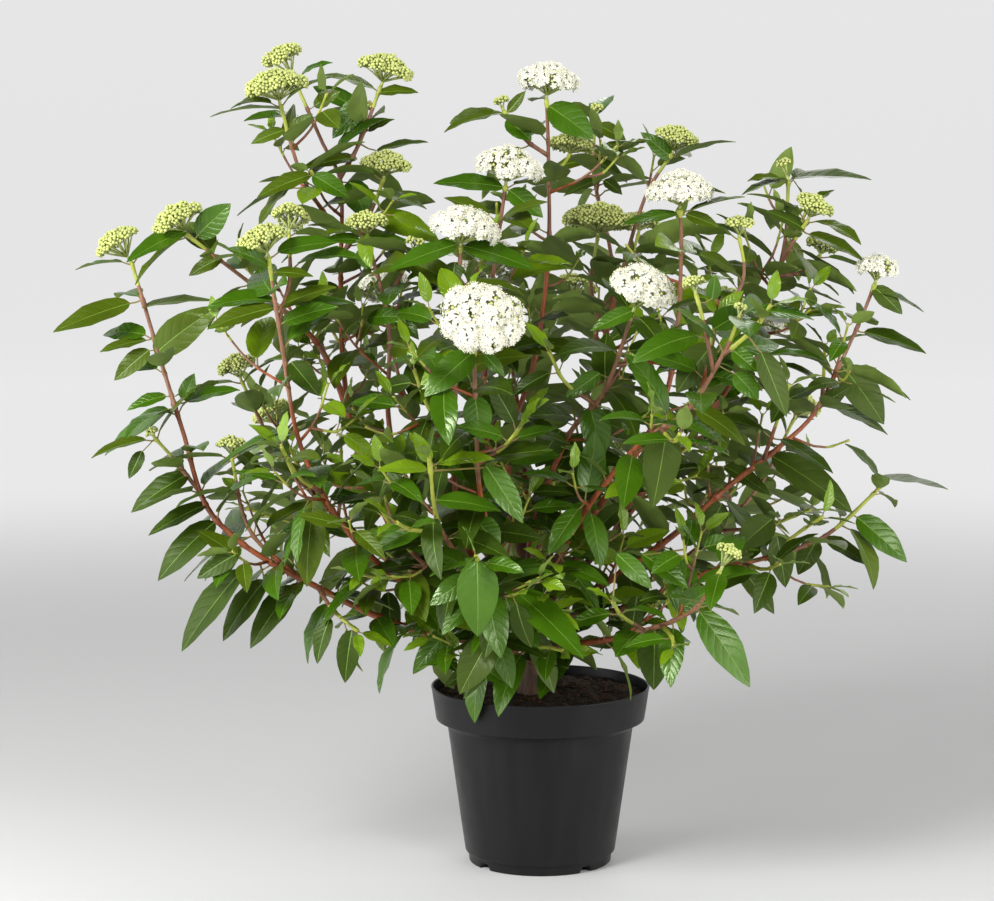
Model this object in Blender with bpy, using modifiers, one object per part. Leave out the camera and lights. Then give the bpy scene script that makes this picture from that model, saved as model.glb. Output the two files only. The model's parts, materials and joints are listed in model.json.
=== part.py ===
"""A laurustinus (Viburnum tinus) in a 5 litre nursery pot.

Metres, +Z up, -Y is the front. The origin is the middle of the pot's flat underside.
A short trunk stands on the compost. Boughs leave it, or fork from another bough, and each
carries one mass: a leafy stem with its forks, side twigs, leaves and flat-topped flower heads.
"""

import bisect
import math
import random
from collections import namedtuple

import bmesh
import bpy
from mathutils import Matrix, Vector
from mathutils.bvhtree import BVHTree
from mathutils.geometry import interpolate_bezier

CLEARANCE = 0.0003  # between solids that touch on the real plant
UP = Vector((0, 0, 1))

# Pot: outer radii, from the rim down to the foot
POT_HEIGHT = 0.183
RIM_RADIUS = 0.1125
RIM_LOW_RADIUS = 0.1075
RIM_DEPTH = 0.034
SHOULDER_DEPTH = 0.008
WALL_TOP_RADIUS = 0.0955
WALL_LOW_RADIUS = 0.0775
FOOT_RADIUS = 0.0734
FOOT_HEIGHT = 0.012
WALL = 0.0018
FLOOR = 0.009
NOTCH_WIDTH = 0.014
NOTCH_HEIGHT = 0.006
NOTCH_DEPTH = 0.009
NOTCH_TURNS = (-142, -52, 38, 128)  # degrees about +Z, from +X
ROUND_STEPS = 32

# Compost, up to a little below the rim
SOIL_TOP = 0.170
SOIL_LUMP = 0.0025
SOIL_EDGE_DROP = 0.004

# Trunk: leans a little to the left on its way up to the first leader
TRUNK_FOOT = Vector((-0.006, 0, SOIL_TOP + CLEARANCE))
TRUNK_TIP = Vector((-0.016, 0.006, 0.312))
TRUNK_FLARE = 0.019
TRUNK_LOW = 0.0130
TRUNK_HIGH = 0.0085
FLARE_HEIGHT = 0.022
TRUNK_SIDES = 12

# Limbs and twigs
BOUGH_RADIUS = 0.0045
BOUGH_TIP_RADIUS = 0.0036
STEM_TIP_RADIUS = 0.0019
FORK_RADIUS = 0.0026
TWIG_RADIUS = 0.0019
TWIG_TIP_RADIUS = 0.0012
BOUGH_SIDES = 6
TWIG_SIDES = 3
BOUGH_STEP = 0.042
TWIG_STEP = 0.044
STUB = 0.003  # straight end of a limb where the next one meets it
LEADER_STUB = 0.008  # the leader goes on this far in the trunk's own direction

# Leaves, in opposite pairs, each pair turned a quarter from the last
LEAF_LENGTH = 0.086
LEAF_THICKNESS = 0.0014
LEAF_WIDEST = 0.45  # along the leaf
LEAF_HALF_WIDTH = 0.225  # in lengths
LEAF_ROLL = 0.6  # radians, either way
LEAF_ROOM = 0.0016  # kept round each leaf
LEAF_FLOOR = 0.150  # no leaf hangs lower
LEAF_SWINGS = (0, 0.35, -0.35, 0.7, -0.7, 0.2, -0.2)  # radians, tried in turn
FULL_LEAF_TRIES = 5  # the later tries are with a shorter leaf
SHORT_LEAF = 0.84
TIP_LEAF_SCALE = 0.86
TIP_LEAF_GAP = 0.004
SCALE_STEP = 0.12  # each pair below the tip is this much larger, up to full size
PAIR_SPACING = 0.080
FIRST_PAIR = 0.020  # from the foot of a twig
FIRST_PAIR_ON_TRUNK = 0.075
MOST_DROOP = 0.9
DROOP_SPAN = 0.35  # leaves this far below the tip droop most

# Flower heads: rays from the stem's tip, under a lumpy dome
HEAD_DOME = 0.55  # rise of the dome, in half widths
HEAD_SINK = 0.0012  # the rays start this far inside the stem's tip
HEAD_UNDERSIDE = 0.75  # height of the dome's lower edge, in rises
SMALL_HEAD = 0.060  # heads under this width have fewer faces

# Side twigs that the seeded rule adds to a stem
TWIG_LENGTH = 0.080
TWIG_EVERY = 0.200
TWIG_FREE_TIP = 0.090  # no side twig this near a stem's tip
TWIG_TRIES = 6
TWIG_SAG = 0.004
TWIG_LIFT = 0.008
TWIG_ROOM = 0.006  # half the width of the way that a new twig needs
TWIG_OWN_STEM = 0.015  # its first stretch may pass near its own stem
FIRST_SIDE_TWIG = 10  # side twigs are numbered from here, after the forks

JOINED_SHARE = 0.9  # of its pieces' volume is left when a mass is one solid
SMOOTH_ANGLE = math.radians(75)
POT_SMOOTH_ANGLE = math.radians(35)

Top = namedtuple("Top", "kind centre width")
Fork = namedtuple("Fork", "route top")
Shoot = namedtuple("Shoot", "name parent foot route bare top forks", defaults=((),))

# Each shoot leaves its parent at the height foot and runs through its route. Its first bare
# points are its bough, and the rest is the stem of its mass. None is a tip with leaves alone.
SHOOTS = (
    Shoot(
        "left_low", "trunk", 0.224,
        ((-0.115, -0.050, 0.245), (-0.210, -0.080, 0.290), (-0.322, -0.090, 0.365),
         (-0.357, -0.075, 0.455), (-0.407, -0.060, 0.620)),
        1, Top("green", (-0.424, -0.060, 0.642), 0.045),
        (Fork(((-0.245, -0.086, 0.303), (-0.290, -0.085, 0.355), (-0.308, -0.080, 0.428)),
              Top("green", (-0.308, -0.080, 0.443), 0.028)),
         Fork(((-0.334, -0.085, 0.395), (-0.366, -0.085, 0.428), (-0.383, -0.085, 0.447)),
              Top("green", (-0.386, -0.085, 0.455), 0.016)),
         Fork(((-0.225, -0.083, 0.294), (-0.205, -0.120, 0.280), (-0.180, -0.145, 0.264)), None)),
    ),
    Shoot(
        "left_mid", "trunk", 0.268,
        ((-0.100, -0.060, 0.280), (-0.180, -0.130, 0.348), (-0.232, -0.150, 0.440),
         (-0.250, -0.160, 0.540), (-0.263, -0.160, 0.630)),
        1, Top("green", (-0.269, -0.160, 0.649), 0.049),
        (Fork(((-0.257, -0.160, 0.565), (-0.245, -0.130, 0.606), (-0.247, -0.110, 0.650)),
              Top("green", (-0.245, -0.100, 0.668), 0.038)),
         Fork(((-0.215, -0.146, 0.400), (-0.235, -0.175, 0.420), (-0.250, -0.190, 0.450)), None)),
    ),
    Shoot(
        "top_left", "trunk", 0.291,
        ((-0.110, -0.030, 0.300), (-0.180, -0.020, 0.410), (-0.200, 0.000, 0.500),
         (-0.203, 0.000, 0.600), (-0.203, 0.000, 0.700), (-0.220, 0.010, 0.735),
         (-0.250, 0.030, 0.800)),
        3, Top("green", (-0.264, 0.030, 0.827), 0.042),
        (Fork(((-0.204, 0.000, 0.645), (-0.238, -0.035, 0.702), (-0.259, -0.050, 0.775)),
              Top("green", (-0.263, -0.050, 0.797), 0.060)),
         Fork(((-0.203, 0.000, 0.700), (-0.185, 0.010, 0.735), (-0.162, 0.020, 0.795)),
              Top("green", (-0.155, 0.020, 0.815), 0.053)),
         Fork(((-0.202, 0.000, 0.625), (-0.173, -0.010, 0.666), (-0.158, -0.020, 0.702)),
              Top("green", (-0.156, -0.020, 0.719), 0.049)),
         Fork(((-0.183, 0.011, 0.740), (-0.181, 0.030, 0.755), (-0.178, 0.040, 0.768)),
              Top("green", (-0.177, 0.042, 0.776), 0.018))),
    ),
    Shoot(
        "left_upper", "top_left", 0.470,
        ((-0.225, -0.020, 0.535), (-0.270, -0.050, 0.582), (-0.330, -0.075, 0.632),
         (-0.350, -0.080, 0.648)),
        1, Top("green", (-0.361, -0.080, 0.666), 0.049),
    ),
    Shoot(
        "inner_left", "top_left", 0.330,
        ((-0.142, -0.060, 0.390), (-0.153, -0.066, 0.470), (-0.152, -0.065, 0.555),
         (-0.173, -0.060, 0.645)),
        1, Top("green", (-0.174, -0.060, 0.662), 0.043),
        (Fork(((-0.156, -0.064, 0.580), (-0.138, -0.070, 0.610), (-0.128, -0.072, 0.630)),
              Top("green", (-0.125, -0.072, 0.640), 0.020)),),
    ),
    Shoot(
        "centre_left", "trunk", 0.274,
        ((-0.070, -0.080, 0.330), (-0.086, -0.110, 0.405), (-0.085, -0.120, 0.500),
         (-0.080, -0.120, 0.637)),
        1, Top("white", (-0.076, -0.120, 0.657), 0.074),
        (Fork(((-0.086, -0.117, 0.450), (-0.110, -0.135, 0.480), (-0.125, -0.140, 0.520)), None),),
    ),
    Shoot(
        "centre_front", "trunk", 0.259,
        ((-0.040, -0.120, 0.325), (-0.060, -0.180, 0.400), (-0.064, -0.215, 0.465),
         (-0.066, -0.240, 0.548)),
        1, Top("white", (-0.057, -0.268, 0.580), 0.084),
        (Fork(((-0.062, -0.200, 0.435), (-0.035, -0.215, 0.455), (-0.015, -0.222, 0.485)), None),),
    ),
    Shoot(
        "centre_mid", "centre_top", 0.345,
        ((-0.050, -0.012, 0.415), (-0.058, -0.028, 0.470), (-0.055, -0.030, 0.530),
         (-0.049, -0.030, 0.600), (-0.036, -0.030, 0.695)),
        1, Top("white", (-0.034, -0.030, 0.716), 0.071),
    ),
    Shoot(
        "centre_top", "trunk", None,
        ((-0.026, 0.018, 0.350), (-0.032, 0.030, 0.425), (-0.006, 0.040, 0.514),
         (0.008, 0.040, 0.620), (0.008, 0.040, 0.725), (0.006, 0.040, 0.782)),
        2, Top("white", (0.008, 0.040, 0.802), 0.066),
        (Fork(((0.008, 0.040, 0.725), (-0.017, 0.040, 0.742), (-0.038, 0.035, 0.770)),
              Top("green", (-0.041, 0.035, 0.781), 0.018)),
         Fork(((0.008, 0.040, 0.700), (0.024, 0.052, 0.716), (0.031, 0.058, 0.727)),
              Top("green", (0.033, 0.060, 0.737), 0.045))),
    ),
    Shoot(
        "back_centre", "trunk", 0.277,
        ((0.050, 0.115, 0.390), (0.072, 0.165, 0.520), (0.079, 0.180, 0.610),
         (0.060, 0.180, 0.700), (0.060, 0.180, 0.762)),
        1, Top("green", (0.063, 0.180, 0.776), 0.016),
        (Fork(((0.077, 0.175, 0.580), (0.100, 0.205, 0.610), (0.110, 0.220, 0.640)),
              Top("green", (0.112, 0.224, 0.655), 0.040)),),
    ),
    Shoot(
        "right_top_back", "trunk", 0.291,
        ((0.046, 0.066, 0.385), (0.066, 0.088, 0.520), (0.090, 0.100, 0.615),
         (0.113, 0.100, 0.687), (0.138, 0.100, 0.726)),
        1, Top("green", (0.144, 0.100, 0.745), 0.047),
        (Fork(((0.070, 0.090, 0.538), (0.054, 0.094, 0.585), (0.061, 0.098, 0.640)),
              Top("green", (0.063, 0.100, 0.660), 0.069)),),
    ),
    Shoot(
        "right_mid", "trunk", 0.293,
        ((-0.006, -0.080, 0.365), (0.026, -0.120, 0.455), (0.059, -0.150, 0.500),
         (0.084, -0.176, 0.575)),
        1, Top("white", (0.094, -0.184, 0.603), 0.069),
        (Fork(((0.050, -0.142, 0.487), (0.020, -0.165, 0.510), (0.005, -0.175, 0.540)), None),
         Fork(((0.070, -0.160, 0.525), (0.095, -0.140, 0.530), (0.115, -0.125, 0.550)), None)),
    ),
    Shoot(
        "right_upper", "trunk", 0.280,
        ((0.058, -0.024, 0.370), (0.120, -0.032, 0.470), (0.136, -0.030, 0.545),
         (0.140, -0.030, 0.640), (0.138, -0.030, 0.672)),
        1, Top("white", (0.139, -0.030, 0.691), 0.071),
        (Fork(((0.131, -0.031, 0.510), (0.180, -0.035, 0.560), (0.203, -0.030, 0.605),
               (0.198, -0.030, 0.643)), Top("green", (0.198, -0.030, 0.659), 0.029)),),
    ),
    Shoot(
        "right_front", "trunk", 0.240,
        ((0.030, -0.120, 0.360), (0.091, -0.190, 0.453), (0.135, -0.210, 0.487),
         (0.169, -0.230, 0.546), (0.180, -0.240, 0.576)),
        1, Top("green", (0.181, -0.240, 0.587), 0.015),
        (Fork(((0.158, -0.224, 0.525), (0.147, -0.230, 0.575), (0.141, -0.224, 0.597)),
              Top("green", (0.138, -0.220, 0.609), 0.023)),
         Fork(((0.166, -0.229, 0.540), (0.194, -0.236, 0.565), (0.210, -0.240, 0.588)), None),
         Fork(((0.110, -0.200, 0.468), (0.120, -0.235, 0.460), (0.125, -0.260, 0.470)), None)),
    ),
    Shoot(
        "right_back", "trunk", 0.264,
        ((0.110, 0.035, 0.385), (0.187, 0.050, 0.473), (0.228, 0.050, 0.550),
         (0.251, 0.050, 0.630), (0.255, 0.050, 0.698)),
        1, Top("green", (0.250, 0.050, 0.718), 0.018),
        (Fork(((0.214, 0.050, 0.520), (0.243, 0.022, 0.610), (0.270, 0.002, 0.660)),
              Top("green", (0.277, 0.000, 0.677), 0.040)),
         Fork(((0.245, 0.050, 0.600), (0.275, 0.060, 0.606), (0.290, 0.064, 0.622)),
              Top("green", (0.294, 0.066, 0.634), 0.035))),
    ),
    Shoot(
        "right_far", "trunk", 0.250,
        ((0.060, -0.020, 0.288), (0.141, -0.020, 0.346), (0.183, -0.020, 0.385),
         (0.241, -0.020, 0.431), (0.277, -0.010, 0.464), (0.319, 0.000, 0.546),
         (0.339, 0.000, 0.596)),
        1, Top("white", (0.341, 0.000, 0.613), 0.048),
        (Fork(((0.225, -0.020, 0.419), (0.235, -0.055, 0.460), (0.245, -0.075, 0.500)), None),
         Fork(((0.285, -0.009, 0.478), (0.292, 0.035, 0.500), (0.296, 0.060, 0.530)), None)),
    ),
    Shoot(
        "right_low", "trunk", 0.232,
        ((0.100, -0.033, 0.274), (0.170, -0.040, 0.306), (0.235, -0.040, 0.323),
         (0.288, -0.032, 0.342), (0.350, -0.030, 0.398)),
        1, None,
        (Fork(((0.236, -0.040, 0.323), (0.255, -0.055, 0.346), (0.282, -0.062, 0.366)), None),
         Fork(((0.205, -0.041, 0.315), (0.222, -0.080, 0.315), (0.235, -0.105, 0.325)), None)),
    ),
    Shoot(
        "right_low_front", "trunk", 0.212,
        ((0.025, -0.060, 0.234), (0.080, -0.120, 0.255), (0.143, -0.180, 0.290),
         (0.168, -0.200, 0.332)),
        1, Top("green", (0.177, -0.200, 0.353), 0.025),
        (Fork(((0.115, -0.153, 0.273), (0.122, -0.190, 0.268), (0.124, -0.215, 0.262)), None),
         Fork(((0.100, -0.139, 0.265), (0.075, -0.175, 0.285), (0.066, -0.195, 0.302)), None)),
    ),
    Shoot(
        "front_low_left", "trunk", 0.233,
        ((-0.060, -0.120, 0.300), (-0.088, -0.180, 0.352), (-0.102, -0.214, 0.386),
         (-0.108, -0.238, 0.446)),
        1, None,
        (Fork(((-0.096, -0.200, 0.370), (-0.125, -0.225, 0.375), (-0.140, -0.240, 0.385)), None),),
    ),
    Shoot(
        "front_low", "trunk", 0.226,
        ((-0.032, -0.090, 0.262), (-0.056, -0.190, 0.320), (-0.064, -0.262, 0.356)),
        0, None,
        (Fork(((-0.048, -0.150, 0.298), (-0.020, -0.200, 0.318), (-0.005, -0.235, 0.330)), None),),
    ),
    Shoot(
        "front_low_droop", "trunk", 0.205,
        ((-0.026, -0.080, 0.230), (-0.044, -0.140, 0.252), (-0.050, -0.168, 0.262)),
        0, None,
        (Fork(((-0.030, -0.095, 0.237), (0.000, -0.125, 0.245), (0.020, -0.145, 0.245)), None),),
    ),
    Shoot(
        "mid_left_front", "trunk", 0.246,
        ((-0.088, -0.094, 0.306), (-0.125, -0.150, 0.340), (-0.158, -0.200, 0.396)),
        1, None,
        (Fork(((-0.108, -0.127, 0.315), (-0.150, -0.155, 0.318), (-0.175, -0.175, 0.325)), None),),
    ),
    Shoot(
        "back_left", "trunk", 0.268,
        ((-0.080, 0.080, 0.340), (-0.125, 0.135, 0.420), (-0.155, 0.185, 0.500),
         (-0.168, 0.215, 0.565)),
        1, Top("white", (-0.172, 0.224, 0.585), 0.066),
        (Fork(((-0.145, 0.165, 0.465), (-0.205, 0.175, 0.510), (-0.235, 0.180, 0.560)),
              Top("green", (-0.240, 0.182, 0.578), 0.042)),),
    ),
    Shoot(
        "back_mid", "trunk", 0.254,
        ((-0.014, 0.095, 0.370), (-0.022, 0.160, 0.455), (-0.035, 0.215, 0.530),
         (-0.048, 0.252, 0.590)),
        1, Top("white", (-0.052, 0.264, 0.608), 0.070),
        (Fork(((-0.030, 0.195, 0.502), (0.020, 0.240, 0.520), (0.040, 0.272, 0.565)),
              Top("green", (0.044, 0.280, 0.582), 0.045)),
         Fork(((-0.025, 0.172, 0.472), (-0.070, 0.175, 0.500), (-0.090, 0.175, 0.540)), None)),
    ),
    Shoot(
        "back_right", "trunk", 0.250,
        ((0.080, 0.085, 0.330), (0.138, 0.135, 0.405), (0.178, 0.180, 0.480),
         (0.198, 0.212, 0.550)),
        1, Top("green", (0.202, 0.220, 0.570), 0.050),
        (Fork(((0.160, 0.160, 0.445), (0.210, 0.145, 0.480), (0.245, 0.142, 0.530)),
              Top("white", (0.252, 0.142, 0.550), 0.060)),),
    ),
    Shoot(
        "back_low_left", "trunk", 0.232,
        ((-0.110, 0.068, 0.270), (-0.175, 0.115, 0.305), (-0.240, 0.160, 0.360),
         (-0.282, 0.192, 0.430)),
        1, Top("green", (-0.290, 0.198, 0.448), 0.045),
        (Fork(((-0.215, 0.143, 0.338), (-0.215, 0.205, 0.365), (-0.218, 0.245, 0.415)), None),
         Fork(((-0.200, 0.133, 0.325), (-0.240, 0.100, 0.330), (-0.275, 0.085, 0.345)), None)),
    ),
    Shoot(
        "back_low_right", "trunk", 0.236,
        ((0.100, 0.068, 0.272), (0.165, 0.112, 0.305), (0.235, 0.155, 0.365),
         (0.278, 0.182, 0.440)),
        1, Top("green", (0.287, 0.188, 0.458), 0.045),
        (Fork(((0.205, 0.137, 0.340), (0.210, 0.200, 0.365), (0.218, 0.240, 0.420)), None),
         Fork(((0.190, 0.127, 0.327), (0.240, 0.090, 0.335), (0.285, 0.075, 0.355)), None)),
    ),
    Shoot(
        "back_low", "trunk", 0.217,
        ((-0.008, 0.090, 0.248), (-0.004, 0.160, 0.280), (-0.008, 0.240, 0.340),
         (-0.012, 0.292, 0.415)),
        1, Top("green", (-0.013, 0.300, 0.433), 0.048),
        (Fork(((-0.004, 0.185, 0.298), (0.065, 0.250, 0.325), (0.092, 0.290, 0.390)),
              Top("white", (0.097, 0.298, 0.408), 0.060)),
         Fork(((-0.006, 0.200, 0.310), (-0.080, 0.245, 0.330), (-0.115, 0.275, 0.385)), None)),
    ),
    Shoot(
        "left_back", "trunk", 0.252,
        ((-0.115, 0.030, 0.290), (-0.195, 0.055, 0.335), (-0.270, 0.070, 0.410),
         (-0.312, 0.078, 0.490)),
        1, Top("green", (-0.318, 0.080, 0.508), 0.042),
        (Fork(((-0.235, 0.062, 0.370), (-0.245, 0.020, 0.400), (-0.262, 0.000, 0.440)), None),
         Fork(((-0.225, 0.060, 0.360), (-0.270, 0.050, 0.350), (-0.305, 0.045, 0.360)), None)),
    ),
)


def clear_scene():
    for thing in list(bpy.data.objects):
        bpy.data.objects.remove(thing)


def new_collection(name, parent=None):
    collection = bpy.data.collections.new(name)
    (parent or bpy.context.scene.collection).children.link(collection)
    return collection


def material(name, colour, roughness):
    made = bpy.data.materials.new(name)
    made.use_nodes = True
    shader = made.node_tree.nodes["Principled BSDF"]
    shader.inputs["Base Color"].default_value = (*colour, 1)
    shader.inputs["Roughness"].default_value = roughness
    return made


def add_object(name, mesh, collection, *materials):
    added = bpy.data.objects.new(name, mesh)
    collection.objects.link(added)
    for each in materials:
        mesh.materials.append(each)
    return added


def mesh_from(bm, name):
    mesh = bpy.data.meshes.new(name)
    bm.to_mesh(mesh)
    bm.free()
    return mesh


def apply_modifiers(thing):
    """Bakes an object's modifiers into its mesh."""
    graph = bpy.context.evaluated_depsgraph_get()
    baked = bpy.data.meshes.new_from_object(thing.evaluated_get(graph))
    thing.modifiers.clear()
    thing.data = baked


def bodies_of(bm):
    """The mesh's faces in groups that share edges, the largest last."""
    groups = []
    left = set(bm.faces)
    while left:
        group = [left.pop()]
        for face in group:
            near = {other for edge in face.edges for other in edge.link_faces}
            group += near & left
            left -= near
        groups.append(group)
    return sorted(groups, key=len)


def keep_largest_body(mesh):
    """Drops loose scraps and fills sealed hollows. Returns the volume, or 0 for a mesh that isn't closed."""
    bm = bmesh.new()
    bm.from_mesh(mesh)
    bmesh.ops.triangulate(bm, faces=bm.faces)
    for group in bodies_of(bm)[:-1]:
        bmesh.ops.delete(bm, geom=group, context="FACES")
    closed = all(len(edge.link_faces) == 2 for edge in bm.edges)
    volume = bm.calc_volume() if closed else 0.0
    bm.to_mesh(mesh)
    bm.free()
    return volume


def volume_of(mesh):
    bm = bmesh.new()
    bm.from_mesh(mesh)
    volume = bm.calc_volume()
    bm.free()
    return volume


def boolean(thing, operation, collection, least=0.0):
    """Cuts or joins thing with all of the collection, which it then empties.

    The result is one closed body of at least the given volume, from the second solver if need be.
    """
    before = thing.data
    for solver in ("EXACT", "MANIFOLD"):
        thing.data = before
        modifier = thing.modifiers.new("Boolean", "BOOLEAN")
        modifier.operation = operation
        modifier.operand_type = "COLLECTION"
        modifier.collection = collection
        modifier.solver = solver
        modifier.material_mode = "TRANSFER"
        apply_modifiers(thing)
        if keep_largest_body(thing.data) > least:
            break
    else:
        raise RuntimeError(f"{thing.name} isn't one closed body")
    for other in list(collection.objects):
        bpy.data.objects.remove(other)


# ---------------------------------------------------------------- pot and compost


def turned(name, profile, collection, look):
    """A solid turned about Z from a profile of (radius, height), bottom to top round its outer side."""
    mesh = bpy.data.meshes.new(name)
    points = [(radius, 0, height) for radius, height in reversed(profile)]
    mesh.from_pydata(points, [(i, i + 1) for i in range(len(points) - 1)], [])
    thing = add_object(name, mesh, collection, look)
    screw = thing.modifiers.new("Screw", "SCREW")
    screw.steps = screw.render_steps = ROUND_STEPS
    screw.use_merge_vertices = True
    screw.merge_threshold = 0.0001
    screw.use_normal_calculate = True
    apply_modifiers(thing)
    return thing


def pot_side(inset):
    """The pot's side from the foot up to the rim, moved in by inset."""
    rim_low = POT_HEIGHT - RIM_DEPTH
    return [
        (WALL_LOW_RADIUS - inset, FOOT_HEIGHT),
        (WALL_TOP_RADIUS - inset, rim_low - SHOULDER_DEPTH),
        (WALL_TOP_RADIUS + 0.35 * (RIM_LOW_RADIUS - WALL_TOP_RADIUS) - inset,
         rim_low - 0.5 * SHOULDER_DEPTH),
        (RIM_LOW_RADIUS - inset, rim_low),
    ]


def make_pot(collection, cutters, look):
    lip = 0.0008
    outer = [
        (0, 0), (FOOT_RADIUS - 0.002, 0), (FOOT_RADIUS, 0.0015),
        (FOOT_RADIUS + 0.001, FOOT_HEIGHT - 0.003), *pot_side(0),
        (RIM_RADIUS, POT_HEIGHT - lip), (RIM_RADIUS - lip, POT_HEIGHT),
    ]
    inner = [
        (RIM_RADIUS - WALL, POT_HEIGHT), *reversed(pot_side(WALL)),
        (FOOT_RADIUS - WALL - 0.001, FLOOR), (0, FLOOR),
    ]
    pot = turned("pot", outer + inner, collection, look)
    for turn in NOTCH_TURNS:
        cut_notch(turn, cutters)
    boolean(pot, "DIFFERENCE", cutters)
    pot.data.shade_smooth()
    pot.data.set_sharp_from_angle(angle=POT_SMOOTH_ANGLE)


def cut_notch(turn, cutters):
    """A round-topped drain notch in the foot, as a cutter that stands past the pot's edge."""
    bm = bmesh.new()
    out = FOOT_RADIUS + 0.006
    depth = out - (FOOT_RADIUS - NOTCH_DEPTH)
    bmesh.ops.create_cone(
        bm, cap_ends=True, segments=12, radius1=0.5 * NOTCH_WIDTH, radius2=0.5 * NOTCH_WIDTH,
        depth=depth, matrix=Matrix.Rotation(math.radians(90), 4, "Y") @ Matrix.Rotation(0.2, 4, "Z"))
    squash = Matrix.Diagonal((1, 1, 2 * NOTCH_HEIGHT / NOTCH_WIDTH, 1))
    place = Matrix.Rotation(math.radians(turn), 4, "Z") @ Matrix.Translation((out - depth / 2, 0, 0))
    bm.transform(place @ squash)
    cutter = add_object("notch_cutter", mesh_from(bm, "notch_cutter"), cutters)
    cutter.hide_render = True
    cutter.display_type = "WIRE"


def make_soil(collection, look, rng):
    side = pot_side(WALL + CLEARANCE)
    profile = [
        (0, FLOOR + CLEARANCE), (FOOT_RADIUS - WALL - 0.0015, FLOOR + CLEARANCE),
        *side, (RIM_RADIUS - WALL - 0.0035, SOIL_TOP - SOIL_EDGE_DROP),
        (0.075, SOIL_TOP - 0.5 * SOIL_EDGE_DROP), (0.045, SOIL_TOP),
        (TRUNK_FLARE + 0.009, SOIL_TOP), (0, SOIL_TOP),
    ]
    soil = turned("soil", profile, collection, look)
    for vertex in soil.data.vertices:
        on_top = vertex.co.z > SOIL_TOP - SOIL_EDGE_DROP - CLEARANCE
        if on_top and vertex.co.xy.length > TRUNK_FLARE + 0.010:
            vertex.co.z += rng.uniform(-SOIL_LUMP, 0)
    soil.data.shade_smooth()
    soil.data.set_sharp_from_angle(angle=POT_SMOOTH_ANGLE)


# ---------------------------------------------------------------- routes and tubes


def smooth_points(points, per_span=12):
    """Points on a smooth curve through the given ones."""
    ends = [points[0]] + list(points) + [points[-1]]
    found = []
    for before, start, end, after in zip(ends, ends[1:], ends[2:], ends[3:]):
        pull = (end - start).length / 3
        first = (end - before).normalized() * pull
        last = (after - start).normalized() * pull
        found += interpolate_bezier(start, start + first, end - last, end, per_span)[:-1]
    return found + [Vector(points[-1])]


class Axis:
    """The middle line of a limb or twig, with its taper."""

    def __init__(self, points, radius, tip_radius):
        self.points = points
        self.radius = radius
        self.tip_radius = tip_radius
        self.places = [0.0]
        for start, end in zip(points, points[1:]):
            self.places.append(self.places[-1] + (end - start).length)
        self.length = self.places[-1]

    def at(self, distance):
        """The point and the direction at this distance from the start."""
        after = min(bisect.bisect_left(self.places, distance, 1), len(self.places) - 1)
        start, end = self.points[after - 1], self.points[after]
        share = (distance - self.places[after - 1]) / (self.places[after] - self.places[after - 1])
        return start.lerp(end, share), (end - start).normalized()

    def radius_at(self, distance):
        return self.radius + (self.tip_radius - self.radius) * distance / self.length

    def nearest(self, target):
        """The distance along the axis of its point nearest to the target."""
        tries = [self.length * i / 200 for i in range(201)]
        return min(tries, key=lambda distance: (self.at(distance)[0] - target).length)

    def at_height(self, height):
        tries = [self.length * i / 400 for i in range(401)]
        return min(tries, key=lambda distance: abs(self.at(distance)[0].z - height))

    def part(self, start, end, step, square_start=False, square_end=False):
        """The stretch from start to end in even steps, with a straight stub at an end that is cut square."""
        count = max(2, round((end - start) / step))
        points = [self.at(start + (end - start) * i / count)[0] for i in range(count + 1)]
        if square_start:
            way = self.at(start)[1]
            points[0] += way * CLEARANCE
            points.insert(1, points[0] + way * STUB)
        if square_end:
            points.insert(-1, points[-1] - self.at(end)[1] * STUB)
        return Axis(points, self.radius_at(start), self.radius_at(end))

    def pairs(self, more=0.0):
        """Its points with its radius at each."""
        return [(point, self.radius_at(place) + more) for point, place in zip(self.points, self.places)]


def route_axis(route, radius, tip_radius):
    return Axis(smooth_points([Vector(point) for point in route]), radius, tip_radius)


def cross_section(sides):
    """A unit polygon that a tube's curve is swept with."""
    name = f"section_{sides}"
    if name in bpy.data.objects:
        return bpy.data.objects[name]
    outline = bpy.data.curves.new(name, "CURVE")
    spline = outline.splines.new("POLY")
    spline.points.add(sides - 1)
    for i, point in enumerate(spline.points):
        turn = 2 * math.pi * i / sides
        point.co = (math.cos(turn), math.sin(turn), 0, 1)
    spline.use_cyclic_u = True
    return bpy.data.objects.new(name, outline)


def tube(name, pairs, sides, collection, look):
    """A tapering tube through (point, radius) pairs, as a mesh with welded caps."""
    curve = bpy.data.curves.new(name, "CURVE")
    curve.dimensions = "3D"
    curve.bevel_mode = "OBJECT"
    curve.bevel_object = cross_section(sides)
    curve.use_fill_caps = True
    spline = curve.splines.new("POLY")
    spline.points.add(len(pairs) - 1)
    for point, (place, radius) in zip(spline.points, pairs):
        point.co = (*place, 1)
        point.radius = radius
    guide = bpy.data.objects.new(name, curve)
    bpy.context.scene.collection.objects.link(guide)
    graph = bpy.context.evaluated_depsgraph_get()
    mesh = bpy.data.meshes.new_from_object(guide.evaluated_get(graph))
    bpy.data.objects.remove(guide)
    bm = bmesh.new()
    bm.from_mesh(mesh)
    bmesh.ops.remove_doubles(bm, verts=bm.verts, dist=0.00001)
    bmesh.ops.recalc_face_normals(bm, faces=bm.faces)
    bm.to_mesh(mesh)
    bm.free()
    mesh.materials.clear()
    mesh.shade_smooth()
    mesh.set_sharp_from_angle(angle=SMOOTH_ANGLE)
    return add_object(name, mesh, collection, look)


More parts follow.
